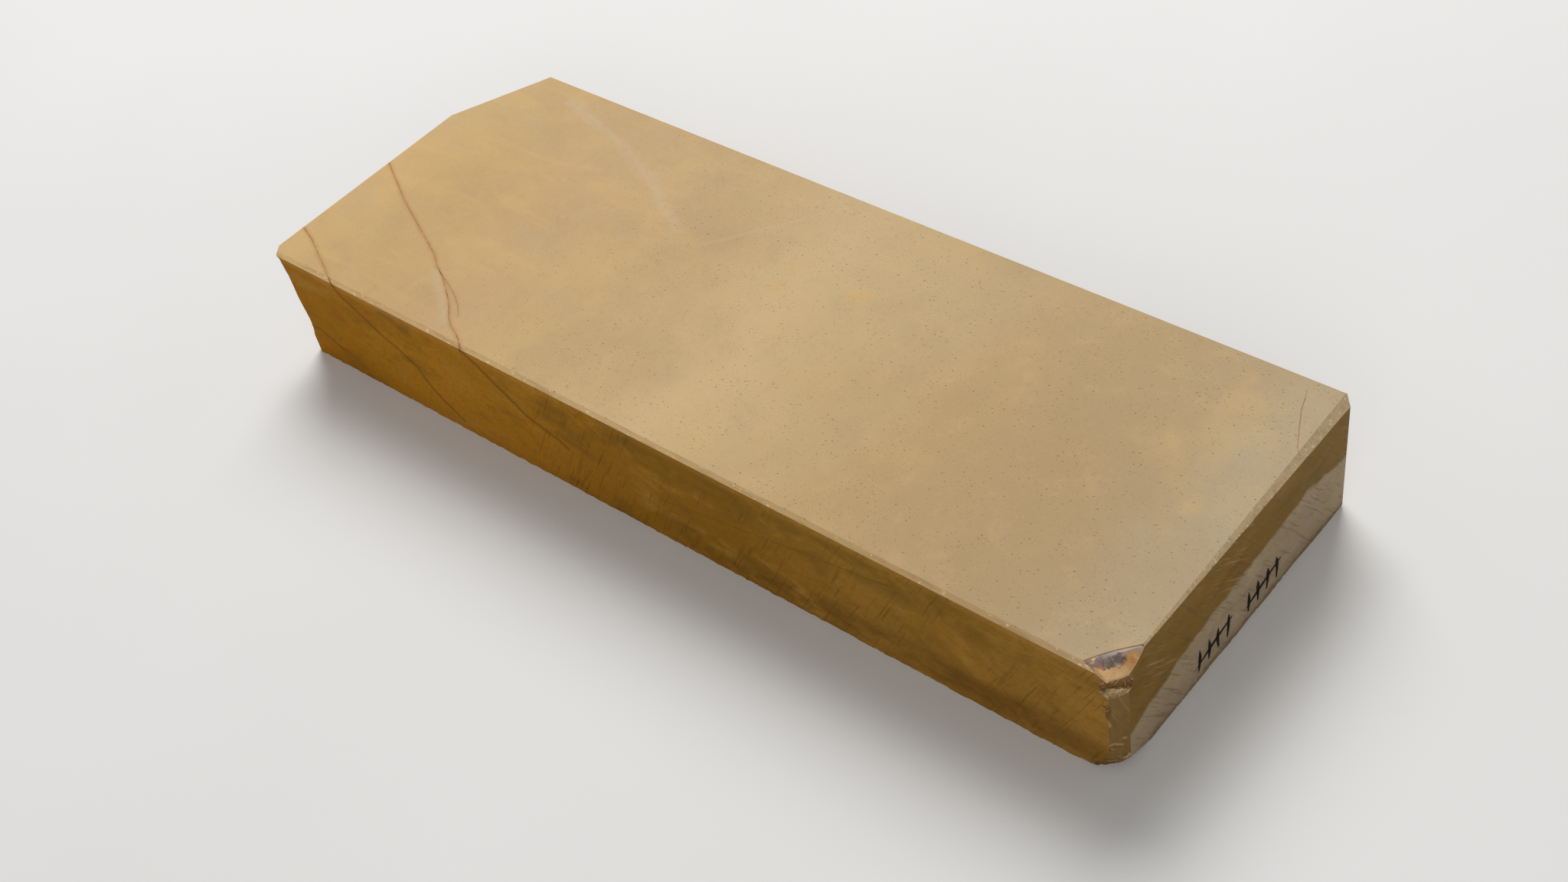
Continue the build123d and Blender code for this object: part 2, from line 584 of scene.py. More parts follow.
    def effect(self, name: str, **inputs: Feed) -> bpy.types.Node:
        """A placed copy of a shared effect, with its inputs fed.

        Args:
            name: The effect's name.
            inputs: What feeds its inputs, by lower-case name.

        Returns:
            The node.
        """
        made = self.node("ShaderNodeGroup", node_tree=bpy.data.node_groups[name])
        for socket, value in inputs.items():
            self.feed(made.inputs[socket.replace("_", " ").title()], value)
        return made


def open_effect(
    name: str, inputs: list[tuple[str, str, Feed]], outputs: list[tuple[str, str]]
) -> tuple[Wiring, bpy.types.Node, bpy.types.Node]:
    """Start a shared effect.

    Args:
        name: The effect's name.
        inputs: Name, socket type and value of each input.
        outputs: Name and socket type of each output.

    Returns:
        The wiring, and the nodes that hold the inputs and the outputs.
    """
    tree = bpy.data.node_groups.new(name, "ShaderNodeTree")
    for label, kind, value in inputs:
        socket = tree.interface.new_socket(label, in_out="INPUT", socket_type=kind)
        if kind != "NodeSocketVector":
            socket.default_value = value
    for label, kind in outputs:
        tree.interface.new_socket(label, in_out="OUTPUT", socket_type=kind)
    wiring = Wiring(tree)
    return wiring, wiring.node("NodeGroupInput"), wiring.node("NodeGroupOutput")


VECTOR = "NodeSocketVector"
NUMBER = "NodeSocketFloat"
COLOUR = "NodeSocketColor"


class Effects:
    """The effects that several finishes share, built once."""

    def build(self) -> None:
        """Build every shared effect."""
        self.mottle()
        self.pores()
        self.strokes()
        self.streak()
        self.grain()

    def mottle(self) -> None:
        """Soft clouds at two sizes that tint a colour darker and lighter."""
        w, given, out = open_effect(
            "mottle",
            [("Vector", VECTOR, None), ("Size", NUMBER, 12.0), ("Amount", NUMBER, 0.2),
             ("Colour", COLOUR, (1, 1, 1, 1)), ("Dark", COLOUR, (0, 0, 0, 1)),
             ("Light", COLOUR, (1, 1, 1, 1))],
            [("Colour", COLOUR), ("Value", NUMBER)],
        )
        scale = w.maths("DIVIDE", 1.0, given.outputs["Size"])
        broad = w.clouds(given.outputs["Vector"], scale, 3.0, 0.55, 0.4)
        fine = w.clouds(w.placed(given.outputs["Vector"], (31, 7, 13)), w.product(scale, 4.3), 3.0, 0.6)
        both = w.maths("ADD", w.product(broad, 0.7), w.product(fine, 0.3))
        darker = w.product(w.span(both, 0.5, 0.3), given.outputs["Amount"])
        lighter = w.product(w.span(both, 0.5, 0.7), given.outputs["Amount"])
        colour = w.blend(darker, given.outputs["Colour"], given.outputs["Dark"])
        colour = w.blend(lighter, colour, given.outputs["Light"])
        w.feed(out.inputs["Colour"], colour)
        w.feed(out.inputs["Value"], both)

    def pores(self) -> None:
        """Tiny dark pits and a few pale grains."""
        w, given, out = open_effect(
            "pores",
            [("Vector", VECTOR, None), ("Density", NUMBER, 0.4), ("Scale", NUMBER, 0.8)],
            [("Dark", NUMBER), ("Pale", NUMBER)],
        )
        turned = w.placed(given.outputs["Vector"], turn=(0, 0, 38), scale=(0.62, 1.4, 1.0))
        for label, shift, radius, share in (("Dark", 0.0, 0.22, 1.0), ("Pale", 47.0, 0.16, 0.2)):
            cells = w.node("ShaderNodeTexVoronoi", feature="F1")
            w.feed(cells.inputs["Vector"], w.placed(turned, (shift, shift, shift)))
            w.feed(cells.inputs["Scale"], given.outputs["Scale"])
            dot = w.span(cells.outputs["Distance"], radius, radius * 0.35)
            pick = w.parts(cells.outputs["Color"])
            cluster = w.clouds(w.placed(given.outputs["Vector"], (shift, 5, 9)), 0.14, 3.0, 0.6)
            allowed = w.product(w.span(cluster, 0.34, 0.6), w.product(given.outputs["Density"], share))
            chosen = w.maths("LESS_THAN", pick[0], allowed)
            strength = w.maths("MULTIPLY_ADD", pick[1], 0.7)
            strength.node.inputs[2].default_value = 0.3
            w.feed(out.inputs[label], w.product(dot, chosen, strength))

    def strokes(self) -> None:
        """Slanted marks left by the saw, in patches."""
        w, given, out = open_effect(
            "saw_strokes",
            [("Vector", VECTOR, None), ("Patch", NUMBER, 0.09), ("Cover", NUMBER, 0.5)],
            [("Mask", NUMBER), ("Height", NUMBER)],
        )
        drawn = w.placed(given.outputs["Vector"], scale=(1.9, 1.9, 0.09))
        lines = w.clouds(drawn, 1.0, 2.0, 0.6)
        moved = w.placed(given.outputs["Vector"], (3, 11, 19), scale=(1, 1, 0.5))
        patch = w.clouds(moved, given.outputs["Patch"], 2.0, 0.5)
        where = w.span(w.maths("ADD", patch, w.maths("SUBTRACT", given.outputs["Cover"], 0.5)), 0.45, 0.62)
        w.feed(out.inputs["Mask"], w.product(w.span(lines, 0.54, 0.68), where))
        w.feed(out.inputs["Height"], lines)

    def streak(self) -> None:
        """A soft line between two places."""
        w, given, out = open_effect(
            "streak",
            [("Vector", VECTOR, None), ("From", VECTOR, None), ("To", VECTOR, None), ("Reach", NUMBER, 1.0)],
            [("Mask", NUMBER)],
        )
        run = w.vector("SUBTRACT", given.outputs["To"], given.outputs["From"])
        away = w.vector("SUBTRACT", given.outputs["Vector"], given.outputs["From"])
        shadow = w.vector("DOT_PRODUCT", away, run, "Value")
        share = w.maths("DIVIDE", shadow, w.vector("DOT_PRODUCT", run, run, "Value"), clamp=True)
        closest = w.node("ShaderNodeVectorMath", operation="SCALE")
        w.feed(closest.inputs[0], run)
        w.feed(closest.inputs["Scale"], share)
        gap = w.vector("LENGTH", w.vector("SUBTRACT", away, closest.outputs[0]), out="Value")
        w.feed(out.inputs["Mask"], w.span(w.maths("DIVIDE", gap, given.outputs["Reach"]), 1.0, 0.0))

    def grain(self) -> None:
        """The fine tooth of the stone, as a height and a roughness."""
        w, given, out = open_effect(
            "grain",
            [("Vector", VECTOR, None), ("Size", NUMBER, 0.35), ("Roughness", NUMBER, 0.8)],
            [("Height", NUMBER), ("Roughness", NUMBER)],
        )
        scale = w.maths("DIVIDE", 1.0, given.outputs["Size"])
        tooth = w.clouds(given.outputs["Vector"], scale, 3.0, 0.65)
        slow = w.clouds(given.outputs["Vector"], w.product(scale, 0.06), 2.0, 0.5)
        w.feed(out.inputs["Height"], tooth)
        swing = w.product(w.maths("SUBTRACT", w.maths("ADD", tooth, slow), 1.0), 0.18)
        w.feed(out.inputs["Roughness"], w.maths("ADD", given.outputs["Roughness"], swing, clamp=True))


class Finish:
    """A procedural stone finish: its colour, its tooth and its gloss."""

    def __init__(
        self, name: str, roughness: float, bump: float, grain: float = 0.35, gloss: float = 0.08
    ) -> None:
        """Start a finish.

        Args:
            name: The material's name.
            roughness: The middle of its roughness.
            bump: How deep the tooth looks, in millimetres.
            grain: The size of the tooth, in millimetres.
            gloss: Its specular level.
        """
        self.material = bpy.data.materials.new(name)
        self.material.use_nodes = True
        tree = self.material.node_tree
        self.w = Wiring(tree)
        self.shader = tree.nodes["Principled BSDF"]
        place = self.w.node("ShaderNodeTexCoord").outputs["Object"]
        self.where = self.w.placed(place, scale=(1 / MM, 1 / MM, 1 / MM))
        self.tooth = self.w.effect("grain", vector=self.where, size=grain, roughness=roughness)
        self.bump = bump
        self.gloss = gloss
        self.height: Feed = self.tooth.outputs["Height"]

    def finish(self, colour: Feed) -> bpy.types.Material:
        """Wire the colour, roughness and bump into the shader.

        Args:
            colour: The base colour.

        Returns:
            The material.
        """
        self.w.feed(self.shader.inputs["Base Color"], colour)
        self.w.feed(self.shader.inputs["Roughness"], self.tooth.outputs["Roughness"])
        self.shader.inputs["Specular IOR Level"].default_value = self.gloss
        bump = self.w.node("ShaderNodeBump")
        bump.inputs["Strength"].default_value = 1.0
        bump.inputs["Distance"].default_value = self.bump * MM
        self.w.feed(bump.inputs["Height"], self.height)
        self.w.feed(self.shader.inputs["Normal"], bump.outputs["Normal"])
        return self.material


@dataclass(frozen=True)
class Line:
    """A row of places on the honing face or near side, mm, and how far its tint reaches."""

    places: tuple[tuple[float, float, float], ...]
    reach: float


LONG_TRACE = (
    (-101.7, -3.1), (-89.2, -10.1), (-79.5, -14.7), (-71.0, -18.7), (-67.0, -21.4), (-63.8, -23.0),
    (-59.9, -25.7), (-57.7, -27.2), (-56.1, -28.6), (-54.2, -30.5), (-52.0, -32.0), (-49.2, -33.2),
    (-46.9, -34.6),
)
BRANCH_TRACE = (
    (-67.4, -21.2), (-64.9, -22.3), (-61.3, -23.8), (-57.7, -25.5), (-54.9, -27.3), (-52.6, -29.4),
)
SHORT_TRACE = (
    (-102.5, -26.8), (-98.0, -28.5), (-94.2, -30.4), (-91.3, -31.9), (-88.5, -33.3), (-86.0, -34.6),
)
LONG_SIDE_TRACE = (
    (-46.3, 26.2), (-43.4, 24.7), (-38.6, 21.1), (-35.0, 18.4), (-32.0, 16.1), (-27.3, 14.4), (-23.8, 13.5),
    (-22.1, 12.2),
)
SHORT_SIDE_TRACE = (
    (-84.2, 25.9), (-82.3, 23.6), (-77.9, 20.8), (-73.3, 17.9), (-68.4, 15.6), (-64.5, 13.3), (-63.2, 10.4),
    (-61.1, 7.5), (-58.7, 5.6), (-54.8, 2.7),
)
LOW_TRACE = ((-100.1, 8.0), (-97.0, 8.2), (-94.6, 7.2), (-92.4, 5.9), (-89.5, 5.1))
SIDE_TRACE = (
    (-5.4, 8.9), (4.9, 12.0), (17.1, 14.2), (38.3, 18.1), (51.8, 20.2), (63.5, 22.6),
)
PALE_TRACE = ((-24.5, 8.8), (-14.6, 20.1), (-8.0, 28.3), (-4.6, 31.9))
STREAK_TRACE = ((-79.5, 30.7), (-60.8, 25.7), (-45.7, 19.7), (-36.6, 13.9), (-31.1, 11.2))
RUST_TRACE = ((95.7, 32.9), (97.5, 27.8), (99.6, 23.8), (101.4, 20.2))


def on_top(trace: tuple) -> tuple:
    """A trace on the honing face as places."""
    return tuple((x, y, HEIGHT) for x, y in trace)


def on_side(trace: tuple) -> tuple:
    """A trace on the near side as places."""
    return tuple((x, NEAR_Y, z) for x, z in trace)


class StoneFinishes:
    """Every finish of the block."""

    def build(self) -> dict[str, bpy.types.Material]:
        """Make the finishes.

        Returns:
            The materials by name.
        """
        made = [
            self.honed(), self.lapped("lapped_near", (188, 156, 107), 1.62),
            self.lapped("lapped_end", (186, 162, 123), 1.34),
            self.sawn_side(), self.sawn_end(), self.broken(),
            self.rubbed(), self.chipped(), self.hollow(), self.crust(),
            self.seam("seam_brown", (196, 150, 102), (166, 116, 72)),
            self.seam("seam_dark", (110, 72, 24), (84, 54, 16)),
            self.seam("seam_pale", (214, 192, 154), (196, 168, 124)),
            self.seam("seam_rust", (184, 146, 108), (158, 116, 82)),
            self.ink(),
        ]
        return {material.name: material for material in made}

    def tinted(
        self, look: Finish, colour: Feed, line: Line, tint: tuple, amount: float, twist: float = 0.5
    ) -> Feed:
        """Lay a soft stain along a line.

        Args:
            look: The finish being made.
            colour: The colour so far.
            line: Where the stain runs and how far it reaches.
            tint: The stain's colour.
            amount: How strong it is at its middle.
            twist: How far its edge wanders, in millimetres.

        Returns:
            The new colour.
        """
        w = look.w
        drift = w.node("ShaderNodeTexNoise")
        w.feed(drift.inputs["Vector"], look.where)
        drift.inputs["Scale"].default_value = 0.35
        shift = w.vector("SUBTRACT", drift.outputs["Color"], (0.5, 0.5, 0.5))
        wander = w.vector("ADD", look.where, w.vector("MULTIPLY", shift, (twist, twist, twist)))
        mask: Feed = 0.0
        for start, end in zip(line.places, line.places[1:]):
            part = w.effect("streak", vector=wander, to=end, reach=line.reach)
            w.feed(part.inputs["From"], start)
            mask = w.maths("MAXIMUM", mask, part.outputs["Mask"])
        return w.blend(w.product(mask, amount), colour, tint)

    def honed_colour(self, look: Finish) -> Feed:
        """The honing face's colour, which the lapped edges share.

        Args:
            look: The finish being made.

        Returns:
            The colour.
        """
        w = look.w
        x, y, _ = w.parts(look.where)
        # Along the length the colour is partly the stone's own tone and partly painted light, which falls off
        # from the left end towards the right.
        along = w.maths("DIVIDE", w.maths("SUBTRACT", x, LEFT_X), LENGTH)
        wander = w.product(w.maths("SUBTRACT", w.clouds(look.where, 0.035, 3.0), 0.5), 0.22)
        colour = w.ramp(w.maths("ADD", along, wander), [
            (0.00, shade(211, 176, 122)), (0.12, shade(202, 167, 117)), (0.24, shade(201, 167, 122)),
            (0.36, shade(205, 173, 123)), (0.50, shade(210, 181, 135)), (0.62, shade(200, 172, 126)),
            (0.72, shade(192, 162, 116)), (0.83, shade(186, 158, 116)), (0.92, shade(184, 159, 122)),
            (1.00, shade(187, 168, 136)),
        ])
        far = w.span(y, -5.0, 36.0, 0.0, 0.3)
        colour = w.blend(far, colour, shade(193, 170, 134))
        away = w.vector("MULTIPLY", w.vector("SUBTRACT", look.where, GROWTH_BAND_MIDDLE), (1, 1, 0))
        inside = w.vector("LENGTH", away, out="Value")
        rim = w.product(w.maths("SUBTRACT", w.clouds(look.where, 0.1, 4.0, 0.6), 0.5), 14.0)
        beyond = w.span(w.maths("ADD", inside, rim), 58.0, 63.5)
        fading = w.span(inside, 100.0, 62.0)
        colour = w.blend(w.product(beyond, fading, 0.3), colour, shade(178, 154, 118))
        colour = w.effect(
            "mottle", vector=look.where, size=26.0, amount=0.3, colour=colour,
            dark=shade(180, 154, 116), light=shade(220, 184, 124),
        ).outputs["Colour"]
        colour = w.effect(
            "mottle", vector=w.placed(look.where, (50, 20, 0)), size=6.0, amount=0.2, colour=colour,
            dark=shade(176, 152, 112), light=shade(219, 186, 134),
        ).outputs["Colour"]
        return colour

    def honed(self) -> bpy.types.Material:
        """The honing face: pale, flat and close-grained.

        Returns:
            The material.
        """
        look = Finish("honed_face", 0.72, 0.012, 0.3)
        w = look.w
        x, _, _ = w.parts(look.where)
        colour = self.honed_colour(look)
        colour = self.tinted(look, colour, Line(on_top(LONG_TRACE), 1.0), shade(176, 128, 80), 0.4)
        colour = self.tinted(look, colour, Line(on_top(BRANCH_TRACE), 0.9), shade(172, 130, 84), 0.22)
        colour = self.tinted(look, colour, Line(on_top(SHORT_TRACE), 1.0), shade(168, 120, 72), 0.34)
        pale = Line(((-66.5, -22.6, HEIGHT), (-60.2, -26.6, HEIGHT), (-54.6, -31.4, HEIGHT)), 1.9)
        colour = self.tinted(look, colour, pale, shade(203, 180, 144), 0.5, 1.5)
        streak = Line(on_top(STREAK_TRACE), 2.2)
        colour = self.tinted(look, colour, streak, shade(206, 186, 158), 0.34, 4.0)
        colour = self.tinted(look, colour, Line(on_top(PALE_TRACE), 0.7), shade(208, 186, 148), 0.3, 1.0)
        wisps = w.clouds(w.placed(look.where, (4, 9, 0), (0, 0, 24), (0.03, 0.14, 0.1)), 1.0, 4.0, 0.6, 0.8)
        at_left = w.span(x, 10.0, -60.0)
        colour = w.blend(w.product(w.span(wisps, 0.52, 0.66), at_left, 0.24), colour, shade(220, 184, 124))
        colour = w.blend(w.product(w.span(wisps, 0.46, 0.34), at_left, 0.22), colour, shade(192, 168, 134))
        for at_x, at_y, size in ((-3.0, 7.5, 1.9), (-3.4, 13.0, 1.4), (11.6, 12.4, 2.4), (14.0, 13.8, 1.5)):
            spot = Line(((at_x, at_y, HEIGHT), (at_x + 0.5 * size, at_y + 0.4 * size, HEIGHT)), size)
            colour = self.tinted(look, colour, spot, shade(215, 172, 102), 0.4, 2.0)
        specks = w.effect("pores", vector=look.where, density=0.75, scale=1.2)
        crowd = w.span(x, -75.0, -15.0, 0.4, 1.0)
        colour = w.blend(w.product(specks.outputs["Dark"], crowd, 0.8), colour, shade(112, 78, 42))
        colour = w.blend(w.product(specks.outputs["Pale"], 0.5), colour, shade(236, 216, 180))
        tiny = w.effect("pores", vector=w.placed(look.where, (17, 3, 0)), density=1.0, scale=2.1)
        colour = w.blend(w.product(tiny.outputs["Dark"], crowd, 0.85), colour, shade(114, 80, 44))
        dust = w.clouds(look.where, 2.6, 2.0, 0.7)
        colour = w.blend(w.product(w.span(dust, 0.45, 0.75), 0.1), colour, shade(150, 124, 86))
        look.height = w.maths("SUBTRACT", look.height, w.product(specks.outputs["Dark"], 1.5))
        return look.finish(colour)

    def lapped(self, name: str, tint: tuple, lift: float) -> bpy.types.Material:
        """The lapped edges round the honing face: streaked along, with tiny bright chips.

        Args:
            name: The material's name.
            tint: The colour that the edge leans to, 8-bit.
            lift: How far it is lifted against the shade that it stands in.

        Returns:
            The material.
        """
        look = Finish(name, 0.6, 0.02, 0.3)
        w = look.w
        colour = w.blend(0.6, self.honed_colour(look), shade(*tint))
        long_streaks = w.clouds(w.placed(look.where, scale=(0.16, 1.4, 1.4)), 1.0, 3.0, 0.6)
        colour = w.blend(w.product(w.span(long_streaks, 0.45, 0.7), 0.45), colour, shade(158, 122, 78))
        chips = w.clouds(w.placed(look.where, (9, 4, 2), scale=(0.9, 1.3, 1.3)), 1.0, 2.0, 0.6)
        colour = w.blend(w.product(w.span(chips, 0.62, 0.7), 0.6), colour, shade(232, 208, 166))
        for x in (-46.6, -85.2):
            run = Line(((x - 0.3, NEAR_Y + 0.8, HEIGHT), (x + 0.5, NEAR_Y, 26.2)), 0.7)
            colour = self.tinted(look, colour, run, shade(138, 96, 56), 0.5, 0.3)
        x, _, _ = w.parts(look.where)
        # The lift falls from left to right: partly the edge's own tone and partly painted light, which falls
        # off towards the right end.
        gain = w.span(x, LEFT_X, RIGHT_X, lift * 1.12, lift * 0.86)
        grey = w.node("ShaderNodeCombineColor")
        for socket in grey.inputs[:3]:
            w.feed(socket, gain)
        return look.finish(w.blend(1.0, colour, grey.outputs[0], "MULTIPLY"))

    def amber(self, look: Finish) -> Feed:
        """The deep ochre of the sawn sides.

        Args:
            look: The finish being made.

        Returns:
            The colour.
        """
        w = look.w
        drawn = w.placed(look.where, turn=(0, 18, 0), scale=(0.6, 0.6, 1.15))
        x, _, _ = w.parts(look.where)
        along = w.maths("DIVIDE", w.maths("SUBTRACT", x, LEFT_X), LENGTH)
        base = w.ramp(along, [
            (0.00, shade(128, 84, 14, SIDE_LIFT)), (0.20, shade(142, 96, 24, SIDE_LIFT)),
            (0.32, shade(136, 92, 23, SIDE_LIFT)), (0.48, shade(120, 82, 21, SIDE_LIFT)),
            (0.60, shade(113, 78, 22, SIDE_LIFT)), (0.74, shade(124, 90, 34, SIDE_LIFT)),
            (0.86, shade(118, 84, 33, SIDE_LIFT)), (1.00, shade(130, 95, 43, SIDE_LIFT)),
        ])
        colour = w.effect(
            "mottle", vector=drawn, size=9.0, amount=0.8, colour=base,
            dark=shade(102, 73, 27, SIDE_LIFT), light=shade(140, 103, 42, SIDE_LIFT),
        ).outputs["Colour"]
        flecks = w.clouds(w.placed(look.where, scale=(0.8, 0.8, 1.3)), 1.3, 4.0, 0.7)
        return w.blend(w.product(w.span(flecks, 0.45, 0.7), 0.34), colour, shade(86, 60, 20, SIDE_LIFT))

    def sawn_side(self) -> bpy.types.Material:
        """The long sides: sawn, stained amber, with smudges under the edge and along the foot.

        Returns:
            The material.
        """
        look = Finish("sawn_side", 0.8, 0.035, 0.45, 0.02)
        w = look.w
        x, y, z = w.parts(look.where)
        colour = self.amber(look)
        smudge = w.clouds(w.placed(look.where, (5, 0, 0), scale=(0.075, 0.075, 0.17)), 1.0, 4.0, 0.65, 0.8)
        band = w.product(w.span(z, 15.5, 20.5), w.span(z, 26.3, 24.0))
        band = w.product(band, w.span(x, -52.0, 0.0, 0.3, 1.0))
        band = w.product(band, w.span(smudge, 0.36, 0.6))
        colour = w.blend(w.product(band, 0.6), colour, shade(92, 68, 24, SIDE_LIFT))
        foot = w.product(w.span(z, 10.0, 5.5), w.span(z, 1.0, 3.0, 0.25, 1.0))
        foot = w.product(foot, w.product(w.span(x, -5.0, 10.0), w.span(smudge, 0.62, 0.42)))
        colour = w.blend(w.product(foot, 0.6), colour, shade(84, 60, 24, SIDE_LIFT))
        slanted = w.placed(look.where, turn=(0, -30, 0))
        marks = w.effect("saw_strokes", vector=slanted, patch=0.075, cover=0.56)
        reach = w.span(x, -62.0, -10.0, 0.25, 1.0)
        colour = w.blend(w.product(marks.outputs["Mask"], reach, 0.46), colour, shade(78, 55, 17, SIDE_LIFT))
        edge = w.span(z, 24.6, 26.4)
        colour = w.blend(
            w.product(edge, w.span(x, -20.0, -80.0, 0.15, 0.5)), colour, shade(152, 112, 58, SIDE_LIFT)
        )
        glow = w.product(w.span(x, -70.0, -103.0), w.span(smudge, 0.35, 0.65))
        colour = w.blend(w.product(glow, 0.5), colour, shade(126, 78, 12, SIDE_LIFT))
        for trace, reach, tint, amount, twist in (
            (LONG_SIDE_TRACE, 1.0, (92, 60, 18), 0.55, 0.8),
            (SHORT_SIDE_TRACE, 0.9, (96, 62, 18), 0.5, 0.8),
            (LOW_TRACE, 0.8, (98, 62, 16), 0.45, 0.6),
        ):
            line = Line(on_side(trace), reach)
            colour = self.tinted(look, colour, line, shade(*tint, SIDE_LIFT), amount, twist)
        # Painted shade: the far long side, which faces the key light, is darkened here while the near side in
        # shade keeps its lift, so the two sides differ by how light falls on them.
        far_side_shade_factor = w.blend(w.span(y, -5.0, 5.0), (1.0, 1.0, 1.0, 1.0), (0.62, 0.64, 0.78, 1.0))
        colour = w.blend(1.0, colour, far_side_shade_factor, "MULTIPLY")
        look.height = w.maths("ADD", look.height, w.product(marks.outputs["Height"], 1.2))
        return look.finish(colour)

    def sawn_end(self) -> bpy.types.Material:
        """The right end: brown above, grey below, with a wavering line between.

        Returns:
            The material.
        """
        look = Finish("sawn_end", 0.66, 0.035, 0.45)
        w = look.w
        _, y, z = w.parts(look.where)
        across = w.maths("DIVIDE", w.maths("SUBTRACT", y, NEAR_Y), WIDTH)
        stops = [(place, (height / HEIGHT,) * 3 + (1.0,)) for place, height in END_SEAM_HEIGHTS]
        line = w.ramp(across, stops)
        drift = w.clouds(w.placed(look.where, scale=(1, 0.6, 1)), 0.35, 4.0, 0.6)
        wave = w.product(w.maths("SUBTRACT", drift, 0.5), 3.0)
        above = w.maths("SUBTRACT", w.maths("ADD", z, wave), w.product(line, HEIGHT))
        brown = w.effect(
            "mottle", vector=w.placed(look.where, scale=(1, 0.5, 1.2)), size=7.0, amount=0.7,
            colour=shade(105, 79, 32, END_LIFT), dark=shade(88, 66, 26, END_LIFT),
            light=shade(121, 89, 43, END_LIFT),
        ).outputs["Colour"]
        grey = w.effect(
            "mottle", vector=w.placed(look.where, (8, 3, 5), scale=(1, 0.6, 1.2)), size=6.0, amount=0.7,
            colour=shade(133, 117, 92, END_LIFT), dark=shade(112, 98, 80, END_LIFT),
            light=shade(147, 130, 105, END_LIFT),
        ).outputs["Colour"]
        blush = w.clouds(w.placed(look.where, (1, 9, 4)), 0.16, 2.0)
        grey = w.blend(w.product(w.span(blush, 0.5, 0.7), 0.3), grey, shade(128, 104, 96, END_LIFT))
        colour = w.blend(w.span(above, -0.7, 0.7), grey, brown)
        base = w.maths("SUBTRACT", 3.0, z)
        rag = w.product(w.clouds(look.where, 0.4, 3.0, 0.6), 4.0)
        low = w.product(w.span(w.maths("ADD", base, rag), 2.8, 4.4), 0.65)
        colour = w.blend(low, colour, shade(98, 76, 44, END_LIFT))
        slanted = w.placed(look.where, turn=(-38, 0, 0))
        marks = w.effect("saw_strokes", vector=slanted, patch=0.14, cover=0.62)
        colour = w.blend(w.product(marks.outputs["Mask"], 0.4), colour, shade(80, 62, 38, END_LIFT))
        pale = w.effect(
            "saw_strokes", vector=w.placed(look.where, (7, 13, 3), turn=(-52, 0, 0)), patch=0.12, cover=0.5
        )
        colour = w.blend(w.product(pale.outputs["Mask"], 0.35), colour, shade(150, 132, 104, END_LIFT))
        look.height = w.maths("ADD", look.height, w.product(marks.outputs["Height"], 1.2))
        return look.finish(colour)

    def broken(self) -> bpy.types.Material:
        """The split left end and the bed: rough, ochre and rusty.

        Returns:
            The material.
        """
        look = Finish("split_stone", 0.85, 0.12, 0.6)
        w = look.w
        colour = w.effect(
            "mottle", vector=look.where, size=9.0, amount=0.8, colour=shade(138, 98, 44),
            dark=shade(98, 64, 22), light=shade(168, 128, 72),
        ).outputs["Colour"]
        rust = w.clouds(w.placed(look.where, (4, 4, 4)), 0.3, 4.0, 0.65)
        colour = w.blend(w.product(w.span(rust, 0.55, 0.7), 0.6), colour, shade(120, 66, 20))
        return look.finish(colour)

    def rubbed(self) -> bpy.types.Material:
        """The facet rubbed on the near right corner.

        Returns:
            The material.
        """
        look = Finish("rubbed_facet", 0.55, 0.012, 0.3)
        w = look.w
        colour = w.effect(
            "mottle", vector=w.placed(look.where, scale=(1, 1, 0.4)), size=4.0, amount=0.6,
            colour=shade(104, 80, 42, END_LIFT), dark=shade(86, 62, 28, END_LIFT),
            light=shade(118, 94, 58, END_LIFT),
        ).outputs["Colour"]
        scuffs = w.effect(
            "saw_strokes", vector=w.placed(look.where, (2, 6, 9), turn=(-20, 0, 0)), patch=0.3, cover=0.55
        )
        colour = w.blend(w.product(scuffs.outputs["Mask"], 0.3), colour, shade(132, 110, 74, END_LIFT))
        # Painted highlights: pale lines along the chipped edges on the facet, where they catch the light.
        light = shade(146, 122, 84, END_LIFT)
        for places in (
            (on_facet(-0.4, 8.4), on_facet(0.9, 8.3), on_facet(2.5, 6.9)),
            (on_facet(2.6, 8.7), on_facet(3.2, 8.2)),
            (on_facet(-0.1, 15.6), on_facet(0.3, 13.6)),
        ):
            colour = self.tinted(look, colour, Line(places, 0.42), light, 0.75, 0.6)
        return look.finish(colour)

    def chipped(self) -> bpy.types.Material:
        """Fresh chips: cream stone on the edges, browner at the foot, with painted highlights along the edges
        of the flakes there.

        Returns:
            The material.
        """
        look = Finish("fresh_chip", 0.75, 0.12, 0.35)
        w = look.w
        _, _, z = w.parts(look.where)
        colour = w.effect(
            "mottle", vector=look.where, size=1.6, amount=0.8, colour=shade(172, 136, 84),
            dark=shade(122, 86, 40), light=shade(216, 184, 134),
        ).outputs["Colour"]
        foot = w.effect(
            "mottle", vector=w.placed(look.where, (1, 2, 3)), size=2.4, amount=0.8,
            colour=shade(98, 74, 38, END_LIFT),
            dark=shade(80, 54, 24, END_LIFT), light=shade(118, 94, 52, END_LIFT),
        ).outputs["Colour"]
        colour = w.blend(w.span(z, 24.0, 20.0), colour, foot)
        # Painted highlights: pale edges on the flakes, where they catch the light.
        flakes = w.clouds(w.placed(look.where, (6, 2, 4), (0, 24, 35), (0.35, 0.9, 1.5)), 1.0, 2.0, 0.5)
        rim_highlights = w.product(w.span(flakes, 0.57, 0.6), w.span(flakes, 0.66, 0.62))
        colour = w.blend(w.product(rim_highlights, 0.6), colour, shade(150, 124, 84, END_LIFT))
        # Painted highlights: pale lines along the edge of the foot break and round a flake on the facet.
        along, _, up = FOOT_CHIP
        edge = ((FOOT_X - along + 0.4, NEAR_Y, 0.5), (FOOT_X - 1.6, NEAR_Y, up * 0.7), on_facet(1.6, 3.0))
        flake = (
            on_facet(1.7, 4.1), on_facet(2.9, 3.9), on_facet(4.1, 2.8), on_facet(3.0, 2.5),
            on_facet(1.7, 3.9)
        )
        for places in (edge, flake):
            colour = self.tinted(look, colour, Line(places, 0.36), shade(176, 150, 112, END_LIFT), 0.8, 0.5)
        return look.finish(colour)

